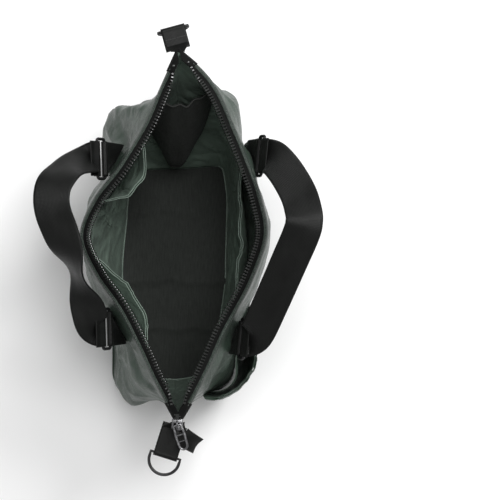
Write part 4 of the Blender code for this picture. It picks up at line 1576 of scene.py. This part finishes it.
@dataclass
class EndTab:
    """A folded tab of webbing at one end of the mouth, with its D-ring."""

    end: End
    root: Vector
    way: Vector
    length: float
    ring_way: Vector
    width: float = 0.031
    bar: float = 0.0019
    opening: float = 0.0345
    root_reach: float = 0.004
    root_lift: float = 0.0032
    root_lap: float = 0.006
    root_share: float = 0.96
    root_taper: float = 0.40

    def build_tab(self) -> bpy.types.Object:
        """The folded webbing."""
        across = Vector((-self.way.y, self.way.x, 0)).normalized()
        bar = self.root + self.way * self.length
        line = BAR.loop(bar, across, -self.way, self.length, self.bar)
        rise = math.copysign(BAR.loop_gap + BAR.webbing / 2, (line[-1] - bar).z)
        centres = [*line, self.root + UP * rise]
        return ribbon(f"tab_{self.end.word}", centres, [across] * len(centres), self.width,
                      (12, 70), WEBBING, lambda point: Vector((bar.x, bar.y, bar.z)),
                      BAR.webbing)

    def build_ring(self) -> bpy.types.Object:
        """The D-ring: a straight bar with its ends proud, and a round bow."""
        across = Vector((-self.way.y, self.way.x, 0)).normalized()
        bar = self.root + self.way * self.length
        half = self.opening / 2 + self.bar
        points = [bar - across * half, bar - across * half * 0.5, bar, bar + across * half * 0.5,
                  bar + across * half]
        for step in range(37):
            turn = math.radians(5 * step)
            points.append(bar + self.ring_way * 0.006 + across * half * math.cos(turn)
                          + self.ring_way * half * math.sin(turn) * 0.98)
        return tube(f"d_loop_{self.end.word}", points, self.bar, LACQUER, closed=True, sides=6)

    def build_root(self) -> bpy.types.Object:
        """The webbing's root, folded down over the mouth's end."""
        across = Vector((-self.way.y, self.way.x, 0)).normalized()
        level = BAR.loop_gap + BAR.webbing + BAR.loop_gap
        tip = Vector((FORM.mouth_x, self.root.y - self.end.value * self.root_reach,
                      FORM.height + self.root_lift))
        back = self.root + self.way * self.root_lap + UP * (level + 0.0004)

        def place(u: float, v: float) -> Vector:
            side = across.lerp(Vector((-self.end.value, 0, 0)), v).normalized()
            width = self.width * (self.root_share - self.root_taper * ease(v))
            return back.lerp(tip, v) + side * width * (u - 0.5)

        return cloth(f"tab_root_{self.end.word}", place, (16, 16), (self.width, 0.012), WEBBING,
                     lambda point: point - UP, BAR.webbing)

    def build_sewing(self) -> bpy.types.Object:
        """The row of stitches across the tab, beside its ring."""
        across = Vector((-self.way.y, self.way.x, 0)).normalized()
        high = BAR.loop_gap + BAR.webbing + BAR.loop_gap
        shape = bmesh.new()
        for back in (0.0075, 0.0120):
            middle = self.root + self.way * (self.length - back) + UP * high
            count = 9
            for i in range(count):
                at = middle + across * self.width * 0.86 * ((i + 0.5) / count - 0.5)
                add_block(shape, (0.0024, 0.0007, 0.0007), at, axes_from(across, UP), 0.0002)
        return new_piece(f"tab_stitches_{self.end.word}", shape, BLACK_THREAD, 30.0)

    def build(self) -> None:
        """Builds and dresses the tab and its ring."""
        word = self.end.word
        dress(self.build_tab(), "bag", "webbing", f"end_tab_{word}")
        dress(self.build_root(), "bag", "webbing")
        dress(self.build_sewing(), "bag", "webbing")
        dress(self.build_ring(), f"d_ring_{word}", "black_metal", f"d_ring_{word}")


# ------------------------------------------------------------------------ pockets


WALL_COLUMNS = 29
FIRST_SHARE = 0.5 * 0.020 / FORM.run


def column_share(column: int) -> float:
    """The share along a wall of one of the wall's even columns."""
    return FIRST_SHARE + (1 - 2 * FIRST_SHARE) * column / (WALL_COLUMNS - 1)


@dataclass
class SlipPocket:
    """A slip pocket of lining cloth, its mouth gaping, with a bound hem."""

    name: str
    side: Side
    first: int
    last: int
    low: float
    high: float
    gape: float
    power: float
    ruffle: float = 0.0016
    hem: float = 0.010
    thickness: float = 0.0010
    crinkle: Crinkle = Crinkle(0.0022, 0.045, 0.0014, 0.026, 0.6, 51.0)
    peak: tuple[float, float] = (0.5, 0.0)

    def inset(self, share: float, z: float, gap: float) -> float:
        """How far in from the wall the pocket's cloth lies."""
        first, last = column_share(self.first), column_share(self.last)
        part = (share - first) / (last - first)
        across = max(0.0, math.sin(math.pi * part))
        rise = max(0.0, (z - self.low) / (self.high - self.low))
        loose = abs(self.crinkle.height(share * FORM.run, z)) * ease(across * 2) * ease(rise * 3)
        flick = self.peak[1] * math.exp(-((part - self.peak[0]) / 0.09) ** 2) * rise**3
        ruffle = self.ruffle * math.sin(part * 23.0) * across * rise**4
        return gap + self.gape * across**0.8 * rise**self.power + loose + flick + ruffle

    def at(self, u: float, z: float, gap: float) -> Vector:
        """A point of the pocket at a share across it and a height."""
        first, last = column_share(self.first), column_share(self.last)
        share = first + (last - first) * u
        part = max(0.0, math.sin(math.pi * u))
        droop = 0.006 * part * max(0.0, (z - self.low) / (self.high - self.low)) ** 3
        behind = INNER.inset(self.side, share, z) + INNER.thickness + 0.0006
        return FORM.wall(self.side, share, z - droop,
                         max(behind + gap, self.inset(share, z, 0.0050 + gap)))

    def build_cloth(self) -> bpy.types.Object:
        """The pocket's own cloth."""
        width = (column_share(self.last) - column_share(self.first)) * FORM.run

        def place(u: float, v: float) -> Vector:
            return self.at(u, self.low + (self.high - self.low) * v, 0.0)

        return cloth(self.name, place, (90, 60), (width, self.high - self.low), LINING_PAINTED_LIGHT,
                     from_outside, self.thickness)

    def build_hem(self) -> bpy.types.Object:
        """The bound edge: a band on the cloth's inner face, rolled at its top."""
        width = (column_share(self.last) - column_share(self.first)) * FORM.run

        def place(u: float, v: float) -> Vector:
            z = self.high - self.hem + (self.hem + 0.0004) * v
            roll = 0.0007 * math.sin(math.pi * v)
            return self.at(u, z, self.thickness * 1.1 + 0.0012 + roll)

        return cloth(f"{self.name}_binding", place, (110, 8), (width, self.hem), LINING_PAINTED_LIGHT,
                     from_outside, 0.0010)

    def build_stitching(self) -> bpy.types.Object:
        """The stitches along the binding."""
        z = self.high - self.hem * 0.80
        line = Line([self.at(0.02 + 0.96 * i / 80, z, self.thickness * 1.1 + 0.0022)
                     for i in range(81)])

        def lift(share: float) -> Vector:
            here = line.at(share)
            return from_axis(here) - here

        return stitches(f"{self.name}_stitches", line, lift, THREAD)

    def build(self) -> None:
        """Builds and dresses the pocket."""
        cad = self.name.removesuffix("_cloth")
        dress(self.build_cloth(), "bag", "lining_nylon", cad)
        dress(self.build_hem(), "bag", "lining_nylon", f"{cad}_hem")
        dress(self.build_stitching(), "bag", "lining_nylon")


@dataclass
class FrontPocket:
    """The gathered outer pocket on the front, with its elastic rim and snap."""

    first: int = 2
    last: int = 10
    low: float = 0.020
    high: float = 0.205
    swell: float = 0.026
    rim: float = 0.012
    gap: float = 0.0026
    thickness: float = 0.0012
    gathers: int = 15
    crinkle: Crinkle = Crinkle(0.0016, 0.060, 0.0012, 0.034, -0.5, 71.0)
    snap_radius: float = 0.0055

    def at(self, u: float, z: float, proud: float = 0.0) -> Vector:
        """A point of the pocket at a share across it and a height."""
        first, last = column_share(self.first), column_share(self.last)
        share = first + (last - first) * u
        across = max(0.0, math.sin(math.pi * u))
        rise = max(0.0, min(1.0, (z - self.low) / (self.high - self.low)))
        out = self.swell * across**0.8 * rise**0.8
        out += max(0.0, self.crinkle.height(share * FORM.run, z)) * ease(across * 2)
        pleat = math.sin(math.tau * self.gathers * u + 1.3 * math.sin(5.0 * u))
        out += 0.0005 * pleat * across * rise**3
        over = max(0.0, FORM.drape(Side.FRONT, share, z))
        return FORM.wall(Side.FRONT, share, z, -(self.gap + over + out + proud))

    def build_cloth(self) -> bpy.types.Object:
        """The pocket's cloth, gathered towards its rim."""
        width = (column_share(self.last) - column_share(self.first)) * FORM.run

        def place(u: float, v: float) -> Vector:
            return self.at(u, self.low + (self.high - self.low) * v)

        return cloth("outer_pocket", place, (150, 70), (width, self.high - self.low), SHELL,
                     from_axis, self.thickness)

    def build_rim(self) -> bpy.types.Object:
        """The elastic casing round the pocket's mouth, puckered."""
        width = (column_share(self.last) - column_share(self.first)) * FORM.run

        def place(u: float, v: float) -> Vector:
            z = self.high - self.rim + (self.rim + 0.0008) * v
            pucker = 0.0005 * abs(math.sin(math.tau * 22 * u)) * math.sin(math.pi * v)
            roll = 0.0012 * math.sin(math.pi * v)
            return self.at(u, z, self.thickness + 0.0008 + roll + pucker)

        return cloth("outer_pocket_rim", place, (200, 10), (width, self.rim), SHELL, from_axis,
                     0.0011)

    def build_snap(self) -> bpy.types.Object:
        """The snap: a domed cap with a rolled edge, spun round its own axis."""
        low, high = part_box("front_pocket_snap")
        middle = (Vector(low) + Vector(high)) / 2
        out = (middle - from_axis(middle)).normalized()
        radius = self.snap_radius
        shape = bmesh.new()
        profile = ((0.0, 0.0020), (0.45, 0.0019), (0.72, 0.0014), (0.82, 0.0009), (0.92, 0.0012),
                   (1.0, 0.0008), (1.0, -0.0004), (0.6, -0.0006), (0.0, -0.0006))
        verts = [shape.verts.new((radius * r, 0.0, h)) for r, h in profile]
        edges = [shape.edges.new(pair) for pair in zip(verts, verts[1:])]
        bmesh.ops.spin(shape, geom=[*verts, *edges], cent=(0, 0, 0), axis=(0, 0, 1),
                       angle=math.tau, steps=40, use_merge=True, dvec=(0, 0, 0))
        bmesh.ops.remove_doubles(shape, verts=shape.verts, dist=1e-6)
        bmesh.ops.recalc_face_normals(shape, faces=shape.faces)
        at = self.at(0.5, middle.z) + out * 0.0008
        matrix = Matrix.Translation(at) @ out.to_track_quat("Z", "Y").to_matrix().to_4x4()
        bmesh.ops.transform(shape, matrix=matrix, verts=shape.verts)
        return new_piece("outer_pocket_snap", shape, GUNMETAL, 60.0)

    def build(self) -> None:
        """Builds and dresses the pocket."""
        dress(self.build_cloth(), "bag", "shell_nylon", "front_pocket")
        dress(self.build_rim(), "bag", "shell_nylon", "front_pocket_rim")
        dress(self.build_snap(), "bag", "gunmetal", "front_pocket_snap")


@dataclass
class BottlePouch:
    """A dark pouch hanging across the inside of the +Y end, its bottom rounded."""

    low: float = 0.070
    high: float = 0.250
    share: float = 0.095
    belly: float = 0.046
    gap: float = 0.0075
    thickness: float = 0.0012

    def place(self, u: float, v: float) -> Vector:
        """A point of the pouch at a share across it and a share up it."""
        z = self.low + (self.high - self.low) * v
        reach = self.share * math.sqrt(1 - 0.62 * (1 - v) ** 3)
        left = FORM.wall(Side.BACK, 1 - reach, z, self.gap)
        right = FORM.wall(Side.FRONT, 1 - reach, z, self.gap)
        round_out = self.belly * math.sin(math.pi * u) * math.sin(1.0 + 1.9 * v)
        pleats = 0.0022 * math.sin(math.tau * 3.4 * u + 2.0 * v) * math.sin(math.pi * u)
        loose = 0.0030 * noise.noise(Vector((u * 5.0 + v, v * 4.0, 9.0))) * math.sin(math.pi * u)
        return left.lerp(right, u) - Vector((0, round_out + pleats * v + loose, 0))

    def build_cloth(self) -> bpy.types.Object:
        """The pouch."""
        return cloth("bottle_holder", self.place, (90, 80), (0.09, self.high - self.low),
                     POUCH_CLOTH, lambda point: point + Vector((0, 0.1, 0)), self.thickness, 0.0)

    def build_rim(self) -> bpy.types.Object:
        """The rolled elastic edge at its mouth."""
        line = [self.place(0.01 + 0.98 * i / 60, 0.995) for i in range(61)]
        return tube("bottle_holder_rim", line, 0.0016, POUCH_CLOTH, sides=4)

    def build_seam(self) -> bpy.types.Object:
        """The cord sewn round its sides and bottom."""
        line = [self.place(0.03, 1 - i / 40) - Vector((0, 0.0012, 0)) for i in range(40)]
        line += [self.place(0.03 + 0.94 * i / 40, 0.012) - Vector((0, 0.0012, 0))
                 for i in range(41)]
        line += [self.place(0.97, i / 40) - Vector((0, 0.0012, 0)) for i in range(1, 41)]
        return tube("bottle_holder_seam", line, 0.0009, POUCH_CLOTH, sides=3)

    def build(self) -> None:
        """Builds and dresses the pouch."""
        dress(self.build_cloth(), "bag", "black_cloth", "bottle_pouch")
        dress(self.build_rim(), "bag", "black_cloth")
        dress(self.build_seam(), "bag", "black_cloth")


# ------------------------------------------------------------------------ studio


@dataclass(frozen=True)
class Lamp:
    """A soft rectangular studio light, aimed at the bag."""

    name: str
    at: tuple[float, float, float]
    size: tuple[float, float]
    power: float

    def build(self, aim: Vector) -> None:
        """Hangs the light."""
        data = bpy.data.lights.new(self.name, "AREA")
        data.shape = "RECTANGLE"
        data.size, data.size_y = self.size
        data.energy = self.power
        lamp = bpy.data.objects.new(self.name, data)
        lamp.location = self.at
        lamp.rotation_euler = (aim - Vector(self.at)).to_track_quat("-Z", "Y").to_euler()
        bpy.context.scene.collection.objects.link(lamp)


@dataclass
class Studio:
    """The pale floor, the soft lights and the camera that looks straight down."""

    eye: tuple[float, float, float] = (0.110, 0.032, 2.0)
    lens: float = 98.0
    sensor: float = 36.0
    floor: float = 8.0
    world: float = 0.36
    lamps: tuple[Lamp, ...] = (
        Lamp("key", (1.05, 1.10, 1.90), (0.7, 0.7), 30.0),
        Lamp("fill", (-1.30, -0.60, 1.60), (1.6, 1.6), 4.0),
        Lamp("top", (0.35, 0.45, 2.40), (0.8, 0.8), 30.0))

    def build(self) -> None:
        """Builds the floor, lights, world and camera."""
        shape = bmesh.new()
        bmesh.ops.create_grid(shape, x_segments=2, y_segments=2, size=self.floor)
        material = bpy.data.materials.new("pale_floor")
        material.use_nodes = True
        shader = material.node_tree.nodes["Principled BSDF"]
        shader.inputs["Base Color"].default_value = (0.93, 0.93, 0.93, 1.0)
        shader.inputs["Roughness"].default_value = 0.85
        shader.inputs["Specular IOR Level"].default_value = 0.2
        floor = new_piece("floor", shape, material)
        aim = Vector((0.02, 0.02, 0.15))
        for lamp in self.lamps:
            lamp.build(aim)
        world = bpy.data.worlds.new("studio")
        world.use_nodes = True
        sky = world.node_tree.nodes["Background"]
        sky.inputs["Color"].default_value = (1.0, 1.0, 1.0, 1.0)
        sky.inputs["Strength"].default_value = self.world
        bpy.context.scene.world = world
        camera = bpy.data.cameras.new("camera")
        camera.lens = self.lens
        camera.sensor_width = self.sensor
        eye = bpy.data.objects.new("camera", camera)
        eye.location = self.eye
        bpy.context.scene.collection.objects.link(eye)
        bpy.context.scene.camera = eye
        bpy.context.scene.view_settings.view_transform = "Standard"


# ------------------------------------------------------------------------ the whole bag


def mouth_end(end: End) -> Vector:
    """The mouth's end, on the floor's level."""
    return Vector((FORM.mouth_x, FORM.mouth_y + end.value * FORM.mouth_length / 2, 0))


def main() -> None:
    """Builds the bag round its frame, then the studio."""
    logging.basicConfig(level=logging.INFO, format="%(message)s")
    SHELL_CLOTH.build()
    INNER.build()
    Zip().build()
    Handle(Side.BACK, -0.060, 0.138, 0.046, 0.066, 0.0155,
           rolls=((0.33, 0.14, 1.25), (0.95, 0.08, 0.60)),
           shape=((1, 0), (0.985, 0.22), (0.94, 0.60), (0.86, 0.90), (0.78, 1.0), (0.69, 0.98),
                  (0.58, 0.84), (0.36, 0.54), (0.16, 0.30), (0.035, 0.16), (0, 0))).build()
    Handle(Side.FRONT, -0.074, 0.146, 0.052, 0.112, 0.0136, rolls=(),
           shape=((1, 0), (0.985, 0.20), (0.91, 0.50), (0.80, 0.81), (0.71, 0.96),
                  (0.655, 1.0), (0.59, 0.96), (0.44, 0.76), (0.22, 0.46), (0.045, 0.20),
                  (0, 0))).build()
    tab_z = 0.291
    upper_way = Vector((-0.26, 0.966, 0)).normalized()
    lower_way = Vector((-0.30, -0.954, 0)).normalized()
    EndTab(End.UPPER, mouth_end(End.UPPER) + Vector((0, 0.0015, tab_z)), upper_way, 0.026,
           -UP).build()
    EndTab(End.LOWER, mouth_end(End.LOWER) + Vector((-0.004, -0.0020, tab_z)), lower_way, 0.040,
           lower_way).build()
    FrontPocket().build()
    SlipPocket("slip_pocket_upper_cloth", Side.BACK, 17, 23, 0.075, 0.235, 0.034, 1.6).build()
    SlipPocket("slip_pocket_lower_cloth", Side.BACK, 4, 14, 0.060, 0.215, 0.036, 1.6).build()
    SlipPocket("side_pocket_cloth", Side.FRONT, 8, 20, 0.070, 0.225, 0.030, 1.6).build()
    BottlePouch().build()
    Studio().build()


if __name__ == "__main__":
    main()
